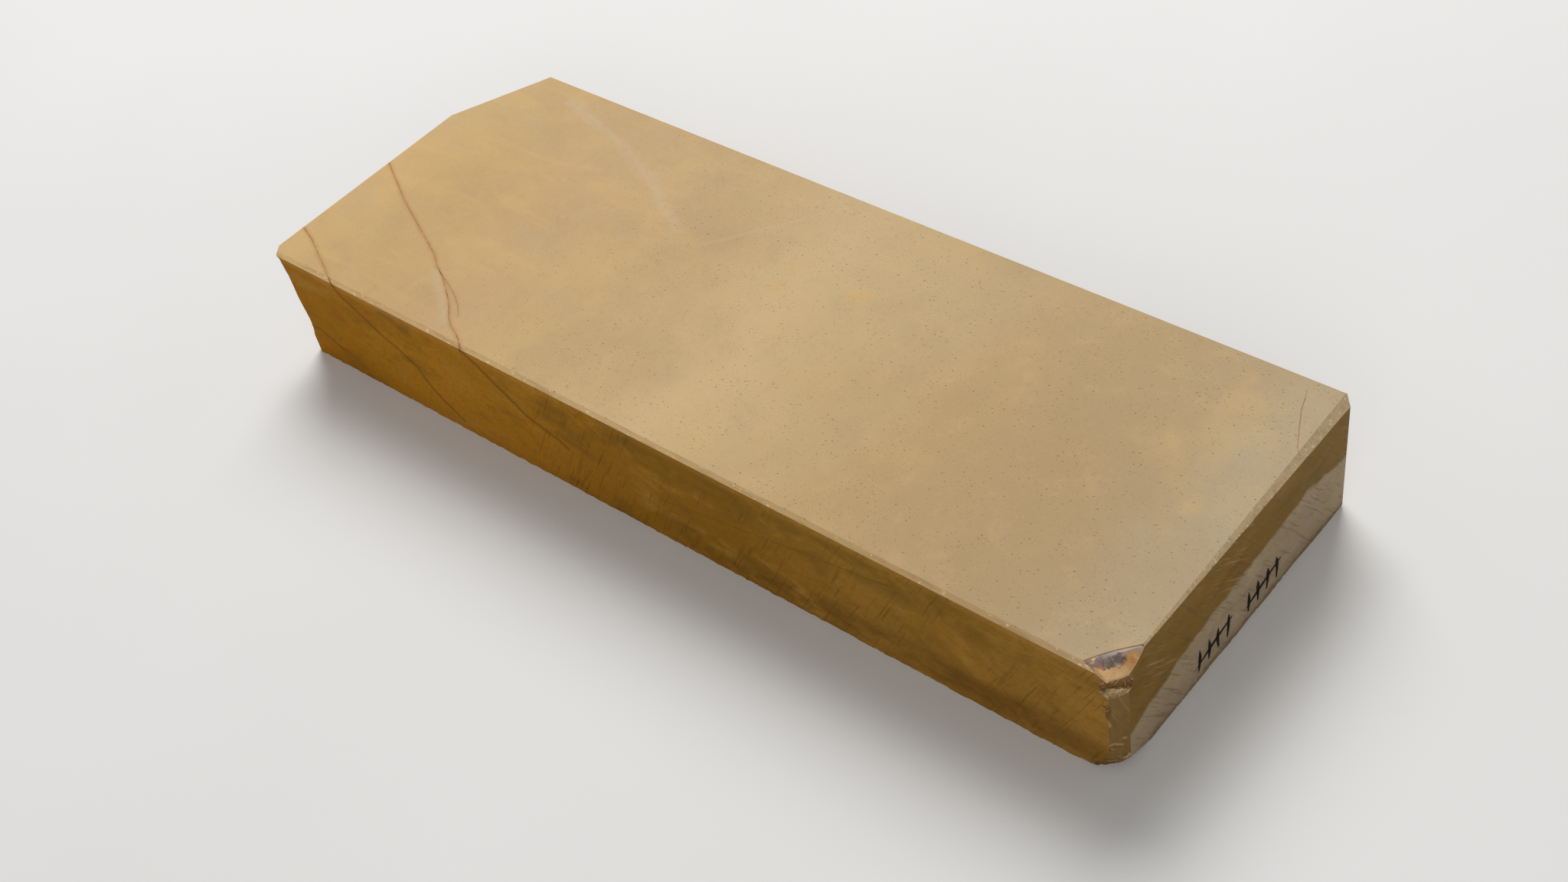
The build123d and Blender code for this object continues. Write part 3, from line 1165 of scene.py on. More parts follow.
    def hollow(self) -> bpy.types.Material:
        """The hollow under the crust: a brown wall over a cream ledge that dips towards the end, with painted
        shade on the wall and painted light on the ledge.

        Returns:
            The material.
        """
        look = Finish("broken_hollow", 0.8, 0.3, 0.4)
        w = look.w
        run = Vector((FACET_NEAR, FACET_END, 0.0)).normalized() * 0.32 + Vector((0.0, 0.0, 1.0))
        start = Vector((RIGHT_X - FACET_NEAR, NEAR_Y, 0.0))
        level = w.vector("DOT_PRODUCT", w.vector("SUBTRACT", look.where, start), run, "Value")
        wave = w.product(w.maths("SUBTRACT", w.clouds(look.where, 0.9, 4.0, 0.65), 0.5), 1.3)
        # The ramp runs from the ledge up to the wall. The cream ledge is partly fresh stone and partly
        # painted light on its up-facing floor, and the dark wall is partly the stone's brown and partly
        # painted shade of the recess.
        colour = w.ramp(w.maths("DIVIDE", w.maths("SUBTRACT", w.maths("ADD", level, wave), 19.5), 7.0), [
            (0.0, shade(204, 168, 112)), (0.12, shade(240, 212, 160)), (0.22, shade(184, 146, 96)),
            (0.33, shade(226, 200, 150)), (0.39, shade(116, 82, 42)), (0.47, shade(104, 74, 36)),
            (0.62, shade(136, 102, 58)), (1.0, shade(158, 132, 104)),
        ])
        crumbs = w.clouds(w.placed(look.where, scale=(0.55, 0.55, 1.6)), 1.6, 3.0, 0.7)
        colour = w.blend(w.product(w.span(crumbs, 0.5, 0.62), 0.62), colour, shade(128, 92, 52))
        # Painted highlights: small bright flecks over the hollow.
        painted_glints = w.clouds(w.placed(look.where, (3, 8, 1)), 1.8, 2.0, 0.6)
        return look.finish(w.blend(w.product(w.span(painted_glints, 0.58, 0.66), 0.6), colour, shade(232, 206, 158)))

    def crust(self) -> bpy.types.Material:
        """The natural crust: a dark rim, a milky band, a grey blotch, an orange patch and a cream lip.

        Returns:
            The material.
        """
        look = Finish("natural_crust", 0.55, 0.08, 0.25)
        w = look.w
        scoop = Scoop()
        middle, run = scoop.chord()
        bend = w.node("ShaderNodeTexNoise")
        w.feed(bend.inputs["Vector"], look.where)
        bend.inputs["Scale"].default_value = 0.9
        bend.inputs["Detail"].default_value = 5.0
        bend.inputs["Roughness"].default_value = 0.62
        shift = w.vector(
            "MULTIPLY", w.vector("SUBTRACT", bend.outputs["Color"], (0.5, 0.5, 0.5)), (2.6, 2.6, 0.0)
        )
        place = w.vector("ADD", look.where, shift)

        def inside(where: Feed) -> Feed:
            """How far a place lies inside the outline, mm."""
            away = w.vector("MULTIPLY", w.vector("SUBTRACT", where, scoop.axis()), (1, 1, 0))
            return w.maths("SUBTRACT", scoop.reach(), w.vector("LENGTH", away, out="Value"))

        def patch(along_at: float, inside_at: float, long: float, deep: float) -> Feed:
            """A ragged oval on the crust, from 1 in its middle to 0 outside.

            Args:
                along_at: Its middle along the outline, mm.
                inside_at: Its middle in from the outline, mm.
                long: Its half length, mm.
                deep: Its half depth, mm.

            Returns:
                Its mask.
            """
            across = w.maths("DIVIDE", w.maths("SUBTRACT", along, along_at), long)
            down = w.maths("DIVIDE", w.maths("SUBTRACT", depth, inside_at), deep)
            gap = w.maths("ADD", w.product(across, across), w.product(down, down))
            ragged = w.product(w.maths("SUBTRACT", w.clouds(look.where, 1.7, 4.0, 0.7), 0.5), 1.6)
            return w.span(w.maths("ADD", gap, ragged), 1.45, 0.6)

        depth, true_depth = inside(place), inside(look.where)
        along = w.vector("DOT_PRODUCT", w.vector("SUBTRACT", place, middle), run, "Value")
        colour = w.effect(
            "mottle", vector=look.where, size=1.8, amount=0.8, colour=shade(206, 166, 116, 1.12),
            dark=shade(176, 130, 86), light=shade(226, 190, 136, 1.12),
        ).outputs["Colour"]
        rusty = w.effect(
            "mottle", vector=w.placed(look.where, turn=(0, 0, -52), scale=(0.5, 1.2, 1.0)), size=1.2,
            amount=0.9,
            colour=shade(214, 156, 96), dark=shade(182, 112, 64), light=shade(228, 184, 122),
        ).outputs["Colour"]
        colour = w.blend(w.product(patch(3.1, 1.5, 2.1, 1.3), 0.9), colour, rusty)
        grey = w.effect(
            "mottle", vector=w.placed(look.where, (5, 1, 2)), size=0.9, amount=0.9,
            colour=shade(122, 106, 98),
            dark=shade(92, 78, 74), light=shade(166, 150, 138),
        ).outputs["Colour"]
        colour = w.blend(patch(-0.9, 1.35, 2.9, 1.3), colour, grey)
        colour = w.blend(w.product(patch(-4.1, 0.5, 0.9, 0.45), 0.8), colour, shade(118, 100, 88))
        colour = w.blend(w.product(patch(-2.7, 2.1, 0.65, 0.4), 0.7), colour, shade(188, 116, 90))
        milk = w.product(w.span(depth, 1.15, 0.6), w.span(along, -3.2, 0.8, 0.15, 1.0))
        colour = w.blend(w.product(milk, 0.85), colour, shade(184, 168, 154))
        rim = w.span(w.maths("ADD", true_depth, w.product(w.clouds(look.where, 0.8, 3.0), 0.3)), 0.5, 0.32)
        return look.finish(w.blend(w.product(rim, 0.9), colour, shade(112, 92, 68)))

    def seam(self, name: str, light: tuple, dark: tuple) -> bpy.types.Material:
        """The mineral that fills a healed crack.

        Args:
            name: The material's name.
            light: Its paler colour, 8-bit.
            dark: Its darker colour, 8-bit.

        Returns:
            The material.
        """
        look = Finish(name, 0.7, 0.02, 0.3)
        w = look.w
        drift = w.clouds(look.where, 0.55, 4.0, 0.65)
        colour = w.ramp(drift, [(0.3, shade(*dark)), (0.68, shade(*light))])
        _, y, _ = w.parts(look.where)
        sunk = w.ramp(drift, [(0.3, shade(82, 54, 16, 1.5)), (0.68, shade(112, 76, 26, 1.6))])
        colour = w.blend(w.span(y, NEAR_Y + 0.35, NEAR_Y + 0.1), colour, sunk)
        specks = w.effect("pores", vector=look.where, density=0.6, scale=1.6)
        return look.finish(w.blend(w.product(specks.outputs["Dark"], 0.5), colour, shade(70, 44, 24)))

    def ink(self) -> bpy.types.Material:
        """Ink soaked into the stone, thin where the brush ran dry.

        Returns:
            The material.
        """
        look = Finish("soaked_ink", 0.6, 0.02, 0.3)
        w = look.w
        dry = w.clouds(w.placed(look.where, scale=(1, 1, 0.4)), 1.6, 4.0, 0.7)
        colour = w.blend(w.span(dry, 0.6, 0.85, 0.0, 0.5), shade(22, 19, 17), shade(92, 80, 66))
        return look.finish(colour)


# ---------------------------------------------------------------- the corner scoop
@dataclass
class Scoop:
    """The shallow round seat of the crust on the near right corner."""

    along: float = CRUST_ALONG
    across: float = CRUST_ACROSS
    bulge: float = CRUST_BULGE
    slope: float = CRUST_SLOPE

    def chord(self) -> tuple[Vector, Vector]:
        """The middle and the direction of the seat's chord on the honing face."""
        middle = Vector((RIGHT_X - self.along / 2, NEAR_Y + self.across / 2, HEIGHT))
        return middle, Vector((self.along, self.across, 0.0)).normalized()

    def reach(self) -> float:
        """Radius of the outline on the honing face."""
        half = math.hypot(self.along, self.across) / 2
        return (half**2 + self.bulge**2) / (2 * self.bulge)

    def axis(self) -> Vector:
        """Where the ball's upright axis meets the honing face."""
        middle, _ = self.chord()
        outward = Vector((self.across, -self.along, 0.0)).normalized()
        return middle + outward * (self.reach() - self.bulge)

    def ball(self, shrink: float, name: str) -> bpy.types.Object:
        """The part of the ball that covers the corner, as a closed cutter.

        Args:
            shrink: How much smaller the ball is than the seat, mm.
            name: The cutter's name.

        Returns:
            The cutter.
        """
        rise = self.reach() / math.tan(math.radians(self.slope))
        radius = math.hypot(self.reach(), rise) - shrink
        centre = self.axis() + Vector((0.0, 0.0, rise))
        rest_everything()
        bpy.ops.mesh.primitive_uv_sphere_add(
            segments=256, ring_count=192, radius=radius * MM, location=centre * MM
        )
        piece = bpy.context.object
        piece.name = name
        bpy.ops.object.transform_apply(location=True, rotation=False, scale=False)
        low = Vector((RIGHT_X - 10.0, NEAR_Y - 1.5, 20.0))
        high = Vector((RIGHT_X + 1.5, NEAR_Y + 12.0, HEIGHT + 1.5))
        for axis in range(3):
            out = Vector((0.0, 0.0, 0.0))
            out[axis] = 1.0
            trim(piece, high * MM, out)
            trim(piece, low * MM, -out)
        with shaping(piece):
            bpy.ops.mesh.select_all(action="SELECT")
            bpy.ops.mesh.subdivide(number_cuts=2)
        middle, run = self.chord()
        outward = Vector((run.y, -run.x, 0.0))

        def towards_end(p: Vector) -> float:
            """The seat lies deeper towards the end and away from its outline."""
            if p.z > HEIGHT + 0.8:
                return 0.0
            inside, along = (p - middle).dot(outward), (p - middle).dot(run)
            return min(max(inside, 0.0) / 4.0, 1.0) * min(max(along / 5.5 + 0.3, 0.0), 1.0)

        sink(piece, CRUST_DROP, towards_end)
        return piece


# ---------------------------------------------------------------- chips
@dataclass
class Chips:
    """Small flakes knocked out of the edges, as rough lumps that cut the block."""

    seed: int = 7

    def lump(
        self, place: Vector, size: tuple[float, float, float], turn: tuple[float, float, float], name: str,
        divisions: int = 4, rough: float = 0.12
    ) -> bpy.types.Object:
        """One rough lump.

        Args:
            place: Its middle, mm.
            size: Its half sizes, mm.
            turn: Its turn about X, Y and Z, degrees.
            name: Its name.
            divisions: How finely it is divided.
            rough: How rough it is, as a share of its smallest half size.

        Returns:
            The lump.
        """
        rest_everything()
        bpy.ops.mesh.primitive_ico_sphere_add(
            subdivisions=divisions, radius=1.0, location=place * MM, rotation=[math.radians(t) for t in turn],
            scale=[s * MM for s in size],
        )
        piece = bpy.context.object
        piece.name = name
        bpy.ops.object.transform_apply(location=True, rotation=True, scale=True)
        smallest = min(size)
        facets = Roughing(name + "_facets", smallest * 0.9, -rough * smallest * 2, basis="VORONOI_F1")
        facets.press(piece, lambda p: 1.0)
        return piece

    def scatter(
        self, spots: list[tuple[Vector, float]], name: str, material: bpy.types.Material
    ) -> bpy.types.Object:
        """Many small lumps joined into one cutter.

        Args:
            spots: The place and half size of each, mm.
            name: The cutter's name.
            material: The finish of the fresh stone under them.

        Returns:
            The cutter.
        """
        rng = random.Random(self.seed)
        lumps = []
        for index, (place, size) in enumerate(spots):
            turn = tuple(rng.uniform(0, 360) for _ in range(3))
            shape = (size * rng.uniform(0.8, 1.5), size * rng.uniform(0.6, 1.0), size * rng.uniform(0.5, 0.9))
            lumps.append(self.lump(place, shape, turn, f"{name}_{index}", divisions=2, rough=0.18))
        rest_everything()
        for lump in lumps:
            lump.select_set(True)
        bpy.context.view_layer.objects.active = lumps[0]
        bpy.ops.object.join()
        joined = bpy.context.object
        paint(joined, material)
        return joined


# ---------------------------------------------------------------- the block
class Side(Enum):
    """The block's kinds of surface, in the order of its material slots."""

    HONED = "honed_face"
    LAPPED = "lapped_near"
    LAPPED_END = "lapped_end"
    LONG = "sawn_side"
    END = "sawn_end"
    SPLIT = "split_stone"
    FACET = "rubbed_facet"
    CHIP = "fresh_chip"
    HOLLOW = "broken_hollow"


@dataclass
class Block:
    """The stone itself."""

    finishes: dict[str, bpy.types.Material]
    edge_zone: float = 2.8
    fine: float = 0.4
    coarse: float = 5.0
    along_step: float = 0.9
    up_step: float = 1.7
    corner_step: float = 0.55
    corner_along: float = 8.0
    corner_across: float = 9.0

    def raw(self, name: str, low: Vector, high: Vector) -> bpy.types.Object:
        """A plain block between two corners, shaped from a cube.

        Args:
            name: The object's name.
            low: Its lowest corner, mm.
            high: Its highest corner, mm.

        Returns:
            The block.
        """
        rest_everything()
        bpy.ops.mesh.primitive_cube_add(size=1.0, location=(0, 0, 0))
        piece = bpy.context.object
        piece.name = name
        with shaping(piece):
            bpy.ops.mesh.select_all(action="SELECT")
            bpy.ops.transform.resize(value=(high - low) * MM)
            bpy.ops.transform.translate(value=(high + low) / 2 * MM)
        return piece

    def saw(self, piece: bpy.types.Object) -> None:
        """Saw the block's flat faces, a skin's thickness inside the nominal ones.

        Args:
            piece: The block.
        """
        lean = math.atan(LEAN)
        end_out = Vector((math.cos(lean), 0.0, -math.sin(lean)))
        trim(piece, vec(FOOT_X, 0, 0) - end_out * SKIN * MM, end_out)
        skew = Vector((-(WIDTH - CLIP_ACROSS), LEFT_SKEW, 0.0)).normalized()
        trim(piece, vec(LEFT_X + 0.02, NEAR_Y, 0), skew)
        clip = Vector((-CLIP_ACROSS, CLIP_ALONG - LEFT_SKEW, 0.0)).normalized()
        trim(piece, vec(LEFT_X + CLIP_ALONG, FAR_Y, 0), clip)
        trim(piece, vec(along_x(0) - 1.6, FAR_Y, 0), Vector((1.0, 1.15, -LEAN)).normalized())
        facet = Vector((FACET_END, -FACET_NEAR, -FACET_END * LEAN)).normalized()
        trim(piece, vec(FOOT_X - FACET_NEAR, NEAR_Y, 0), facet)
        along, across, up = FOOT_CHIP
        trim(piece, vec(FOOT_X - along, NEAR_Y, 0), Vector((1 / along, -1 / across, -1 / up)).normalized())
        trim(piece, vec(FOOT_X, NEAR_Y + 10.0, 0), Vector(END_FOOT_CHIP).normalized())

    def bevel(self, piece: bpy.types.Object) -> None:
        """Lap the edges round the honing face.

        Args:
            piece: The block.
        """
        lapped = Vector((0, -NEAR_BEVEL_DROP, NEAR_BEVEL)).normalized()
        trim(piece, vec(0, NEAR_Y + NEAR_BEVEL, HEIGHT) - lapped * SKIN * MM, lapped)
        trim(piece, vec(0, NEAR_Y + 0.1, HEIGHT - NEAR_BEVEL_DROP), Vector((0, -1, 0.25)).normalized())
        trim(piece, vec(0, FAR_Y - 0.3, HEIGHT), Vector((0, 1, 1)).normalized())
        skew = Vector((-(WIDTH - CLIP_ACROSS), LEFT_SKEW, 0.0)).normalized()
        trim(piece, vec(LEFT_X + 0.15, NEAR_Y, HEIGHT), (skew + Vector((0, 0, 0.8))).normalized())
        clip = Vector((-CLIP_ACROSS, CLIP_ALONG - LEFT_SKEW, 0.0)).normalized()
        trim(piece, vec(LEFT_X + CLIP_ALONG + 0.15, FAR_Y, HEIGHT), (clip + Vector((0, 0, 1))).normalized())
        first, second, third = (Vector(corner) for corner in END_BEVEL_FACE)
        out = (second - first).cross(third - first).normalized()
        trim(piece, first * MM, out if out.x > 0 else -out)
        trim(piece, vec(RIGHT_X - 0.01, 0, 0), Vector((1, 0, 0)))
        for angle in (18.0, 36.0, 54.0, 72.0):
            out = Vector((-math.cos(math.radians(angle)), -math.sin(math.radians(angle)), 0.0))
            trim(piece, vec(LEFT_X + LEFT_ROUND, NEAR_Y + LEFT_ROUND, 0) + out * LEFT_ROUND * MM, out)
        trim(piece, vec(LEFT_X + 1.6, NEAR_Y + 0.2, HEIGHT), Vector((-0.75, -0.55, 0.7)).normalized())

    def net(self, piece: bpy.types.Object) -> None:
        """Score the block finely along its edges and at its worn corner.

        Args:
            piece: The block.
        """
        spans = ((LEFT_X, RIGHT_X), (NEAR_Y, FAR_Y), (0.0, HEIGHT))
        steps = (self.along_step, self.coarse, self.up_step)
        for axis, ((low, high), step) in enumerate(zip(spans, steps)):
            places = []
            place = low + self.fine / 2
            while place < high:
                places.append(place)
                near_edge = min(place - low, high - place) < self.edge_zone
                at_corner = (axis == 0 and place > high - self.corner_along
                             or axis == 1 and place < low + self.corner_across)
                place += self.fine if near_edge else self.corner_step if at_corner else step
            score(piece, places, axis)

    def sort_faces(self, piece: bpy.types.Object) -> None:
        """Give every face the material of the surface that it lies on.

        Args:
            piece: The block.
        """
        piece.data.materials.clear()
        for side in Side:
            piece.data.materials.append(self.finishes[side.value])
        order = list(Side)
        for face in piece.data.polygons:
            place, out = face.center / MM, face.normal
            if out.z > 0.95:
                side = Side.HONED
            elif out.z > 0.3:
                side = Side.LAPPED_END if out.x > 0.4 else Side.LAPPED
            elif -0.9 < out.z < -0.3:
                side = Side.CHIP
            elif out.z < -0.9 or (out.x < -0.3 and place.x < LEFT_X + 15.0):
                side = Side.SPLIT
            elif out.x > 0.8 and out.y < -0.2:
                side = Side.FACET
            elif out.x > 0.8:
                side = Side.END
            else:
                side = Side.LONG
            face.material_index = order.index(side)

    def split_left_end(self, piece: bpy.types.Object) -> None:
        """Push the split left end in, row by row, to its broken profile.

        Args:
            piece: The block.
        """

        def inset(z: float) -> float:
            """How far the end stands in at a height."""
            for (low, first), (high, second) in zip(LEFT_PROFILE, LEFT_PROFILE[1:]):
                if z <= high:
                    return first + (second - first) * (z - low) / (high - low)
            return 0.0

        reach = 7.0
        far_edge = FAR_Y - CLIP_ACROSS + 0.5
        left = [vert for vert in piece.data.vertices if vert.co.x / MM < LEFT_X + reach]
        heights = sorted({round(vert.co.z / MM, 3) for vert in left})
        with shaping(piece):
            for height in heights:

                def in_row(p: Vector, height: float = height) -> bool:
                    """True for a place near the left end at this height."""
                    return abs(p.z - height) < 0.002 and p.x < LEFT_X + reach and p.y < far_edge

                if inset(height) > 0.02 and select_points(piece, in_row):
                    squeeze = (reach - inset(height)) / reach
                    bpy.ops.transform.resize(value=(squeeze, 1, 1), center_override=vec(LEFT_X + reach, 0, 0))

    def roughen(self, piece: bpy.types.Object) -> None:
        """Break the sharpness of sawn edges and the flatness of the split end.

        Args:
            piece: The block.
        """

        def left_end(p: Vector) -> float:
            """Weight on the split end."""
            edge = LEFT_X + 3.2 + max(0.0, p.y - NEAR_Y) * LEFT_SKEW / 50.4
            if p.y > FAR_Y - CLIP_ACROSS or p.x > edge or p.z > 26.0:
                return 0.0
            return min(1.0, (edge - p.x) / 1.2)

        def bevel_foot(p: Vector) -> float:
            """Weight on the lower edge of the near bevel."""
            return 1.0 if abs(p.y - NEAR_Y) < 0.12 and abs(p.z - (HEIGHT - NEAR_BEVEL_DROP)) < 0.08 else 0.0

        def bevel_head(p: Vector) -> float:
            """Weight on the upper edge of the near bevel."""
            return 1.0 if abs(p.y - NEAR_Y - NEAR_BEVEL) < 0.06 and p.z > HEIGHT - 0.05 else 0.0

        def end_foot(p: Vector) -> float:
            """Weight on the lower edge of the end bevel."""
            on_brow = abs(p.x - along_x(p.z)) < 0.06 and 25.2 < p.z < 27.25
            return 1.0 if on_brow and p.y > NEAR_Y + 9.0 else 0.0

        def foot_break(p: Vector) -> float:
            """Weight on the big break at the foot of the worn corner."""
            along, across, up = FOOT_CHIP
            depth = (p.x - FOOT_X) / along - (p.y - NEAR_Y) / across - p.z / up + 1.0
            return 1.0 if abs(depth) < 0.01 else 0.0

        def bed_edge(p: Vector) -> float:
            """Weight along the foot of the near side and the right end."""
            near = p.y < NEAR_Y + 0.05
            end = p.x > along_x(p.z) - 0.08
            far = p.y > FAR_Y - 0.05
            return max(0.0, 1.0 - p.z / 0.9) if near or end or far else 0.0

        Roughing("split", 3.2, 1.1, Lay.X, middle=0.2, depth=4).press(piece, left_end)
        Roughing("bevel_foot", 1.6, 0.42, Lay.Z, depth=3).press(piece, bevel_foot)
        Roughing("bevel_head", 2.4, 0.22, Lay.Y, depth=3).press(piece, bevel_head)
        Roughing("end_foot", 1.8, 0.6, Lay.Z, depth=3).press(piece, end_foot)
        Roughing("bed_edge", 2.0, -0.45, Lay.NORMAL, middle=0.0, depth=3, floor=0.35).press(piece, bed_edge)
        Roughing("foot_break", 1.8, -0.9, Lay.NORMAL, middle=0.0, depth=3, floor=0.3).press(piece, foot_break)

    def notch(self) -> bpy.types.Object:
        """The hollow under the crust: a dark back wall over a ledge that slopes out and dips to the end.

        Returns:
            Its cutter, whose corners are given along the facet, out of it and up from the bed.
        """
        piece = self.raw("notch", Vector((-1, -1, -1)), Vector((1, 1, 1)))
        corners = {
            (-1, -1, -1): (-3.0, -2.5, 22.9), (1, -1, -1): (7.6, -0.35, 19.4),
            (-1, 1, -1): (-3.0, 1.0, 21.3), (1, 1, -1): (7.6, 1.4, 14.8),
            (-1, -1, 1): (-3.0, -2.3, 26.3), (1, -1, 1): (7.6, -0.1, 23.7),
            (-1, 1, 1): (-3.0, 1.0, 26.8), (1, 1, 1): (7.6, 1.4, 24.0),
        }
        with shaping(piece):
            for sign, place in corners.items():
                corner = Vector(sign)
                select_points(piece, lambda p, corner=corner: (p - corner).length < 0.1)
                bpy.ops.transform.translate(value=(Vector(place) - corner) * MM)
            bpy.ops.mesh.select_all(action="SELECT")
            bpy.ops.mesh.subdivide(number_cuts=36)
        Roughing("notch_slabs", 2.6, 0.9, basis="VORONOI_F2_F1", depth=2).press(piece, lambda p: 1.0)
        Roughing("notch_break", 0.9, 0.45, depth=4).press(piece, lambda p: 1.0)
        run = Vector((FACET_NEAR, FACET_END, 0.0)).normalized()
        out = Vector((FACET_END, -FACET_NEAR, 0.0)).normalized()
        turn = Matrix((run, out, Vector((0, 0, 1)))).transposed().to_4x4()
        piece.matrix_world = Matrix.Translation(vec(RIGHT_X - FACET_NEAR, NEAR_Y, 0)) @ turn
        take(piece)
        bpy.ops.object.transform_apply(location=True, rotation=True, scale=True)
        face_outwards(piece)
        return piece

    def chip(self, piece: bpy.types.Object) -> None:
        """Knock the chips out of the worn corner and the edges.

        Args:
            piece: The block.
        """
        chips = Chips()
        fresh, hollow = self.finishes["fresh_chip"], self.finishes["broken_hollow"]
        seat = Scoop().ball(0.0, "seat_cutter")
        paint(seat, hollow)
        carve(piece, seat)

        notch = self.notch()
        paint(notch, hollow)
        carve(piece, notch)

        for index, (place, size, angles) in enumerate((
            (Vector((FOOT_X - 2.6, NEAR_Y + 0.6, 1.4)), (2.4, 0.8, 0.9), (0, 8, 32)),
            (Vector((FOOT_X - 0.8, NEAR_Y + 2.1, 1.1)), (1.2, 0.5, 0.6), (0, 15, 42)),
            (Vector((FOOT_X - 3.9, NEAR_Y + 0.05, 1.2)), (1.9, 0.7, 0.8), (0, -30, 18)),
            (Vector((FOOT_X - 6.2, NEAR_Y - 0.2, -0.4)), (2.4, 0.8, 1.1), (0, 6, 4)),
            (Vector(on_facet(2.9, 3.3)) + Vector((0.3, -0.12, 0.0)), (1.7, 0.7, 0.75), (0, 30, 68)),
            (Vector(on_facet(1.0, 7.0)) + Vector((0.42, -0.17, 0.0)), (2.0, 0.7, 0.8), (0, 24, 68)),
            (Vector((101.4, NEAR_Y - 0.3, 17.4)), (0.9, 0.9, 2.6), (0, 8, 10)),
            (Vector((101.7, NEAR_Y - 0.2, 12.6)), (0.5, 0.45, 2.0), (0, -6, 20)),
        )):
            lump = chips.lump(place, size, angles, f"foot_{index}", rough=0.07)
            paint(lump, fresh)
            carve(piece, lump)

        rng = random.Random(11)
        spots: list[tuple[Vector, float]] = []
        x = LEFT_X + 6.0
        while x < RIGHT_X - 10.0:
            lower = rng.random() < 0.5
            size = rng.uniform(0.16, 0.34)
            y, z = (NEAR_Y, HEIGHT - NEAR_BEVEL_DROP) if lower else (NEAR_Y + NEAR_BEVEL, HEIGHT)
            spots.append((Vector((x, y - size * 0.25, z + size * 0.4)), size))
            x += rng.uniform(4.0, 11.0)
        y = NEAR_Y + 12.0
        while y < FAR_Y - 3.0:
            size = rng.uniform(0.2, 0.45)
            drop = 0.35 + 1.1 * (y - NEAR_Y) / WIDTH
            spots.append((Vector((along_x(HEIGHT - drop) + size * 0.5, y, HEIGHT - drop + size * 0.2)), size))
            y += rng.uniform(2.6, 6.0)
        y = NEAR_Y + 8.0
        while y < FAR_Y - 2.0:
            size = rng.uniform(0.3, 0.7)
            spots.append((Vector((along_x(0) + size * 0.3, y, -size * 0.2)), size))
            y += rng.uniform(2.5, 7.0)
        x = LEFT_X + 8.0
        while x < RIGHT_X - 14.0:
            size = rng.uniform(0.3, 0.6)
            spots.append((Vector((x, NEAR_Y - size * 0.35, -size * 0.2)), size))
            x += rng.uniform(6.0, 16.0)
        spots.append((Vector((along_x(0) + 0.5, NEAR_Y + 48.4, -0.3)), 1.3))
        spots.append((Vector((FACET_CHIP_X, NEAR_Y - 0.1, 18.8)), 0.45))
        carve(piece, chips.scatter(spots, "edge_chip", fresh))

    def build(self) -> bpy.types.Object:
        """Make the block.

        Returns:
            The finished stone.
        """
        low = Vector((LEFT_X, NEAR_Y + SKIN, 0.0))
        high = Vector((RIGHT_X + 1.0, FAR_Y - SKIN, HEIGHT - SKIN))
        piece = self.raw("stone_block", low, high)
        self.saw(piece)
        self.bevel(piece)
        self.net(piece)
        self.sort_faces(piece)
        self.split_left_end(piece)
        self.roughen(piece)
        self.chip(piece)
        settle(piece)
        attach(piece, "root")
        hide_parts("stone_body")
        return piece


@dataclass
class Crust:
    """The scrap of natural crust in its seat."""

    block: Block
    thickness: float = CRUST_THICKNESS

    def build(self) -> bpy.types.Object:
        """Make the crust.

        Returns:
            The finished crust.
        """
        low = Vector((RIGHT_X - 9.0, NEAR_Y + SKIN, 20.5))
        high = Vector((RIGHT_X + 1.0, NEAR_Y + 11.0, HEIGHT - SKIN))
        piece = self.block.raw("crust_scrap", low, high)
        self.block.saw(piece)
        self.block.bevel(piece)
        score(piece, [low.x + 0.3 * i for i in range(1, 33)], 0)
        score(piece, [low.y + 0.3 * i for i in range(1, 36)], 1)
        carve(piece, Scoop().ball(0.0, "crust_keep"), "INTERSECT")
        dish = Scoop().ball(self.thickness, "crust_dish")
        Roughing("crust_face", 1.1, 0.3, depth=4).press(dish, lambda p: 1.0)
        carve(piece, dish)
        carve(piece, self.block.notch())
        paint(piece, self.block.finishes["natural_crust"])
        settle(piece, 40.0)
        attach(piece, "root")
        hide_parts("corner_crust")
        return piece


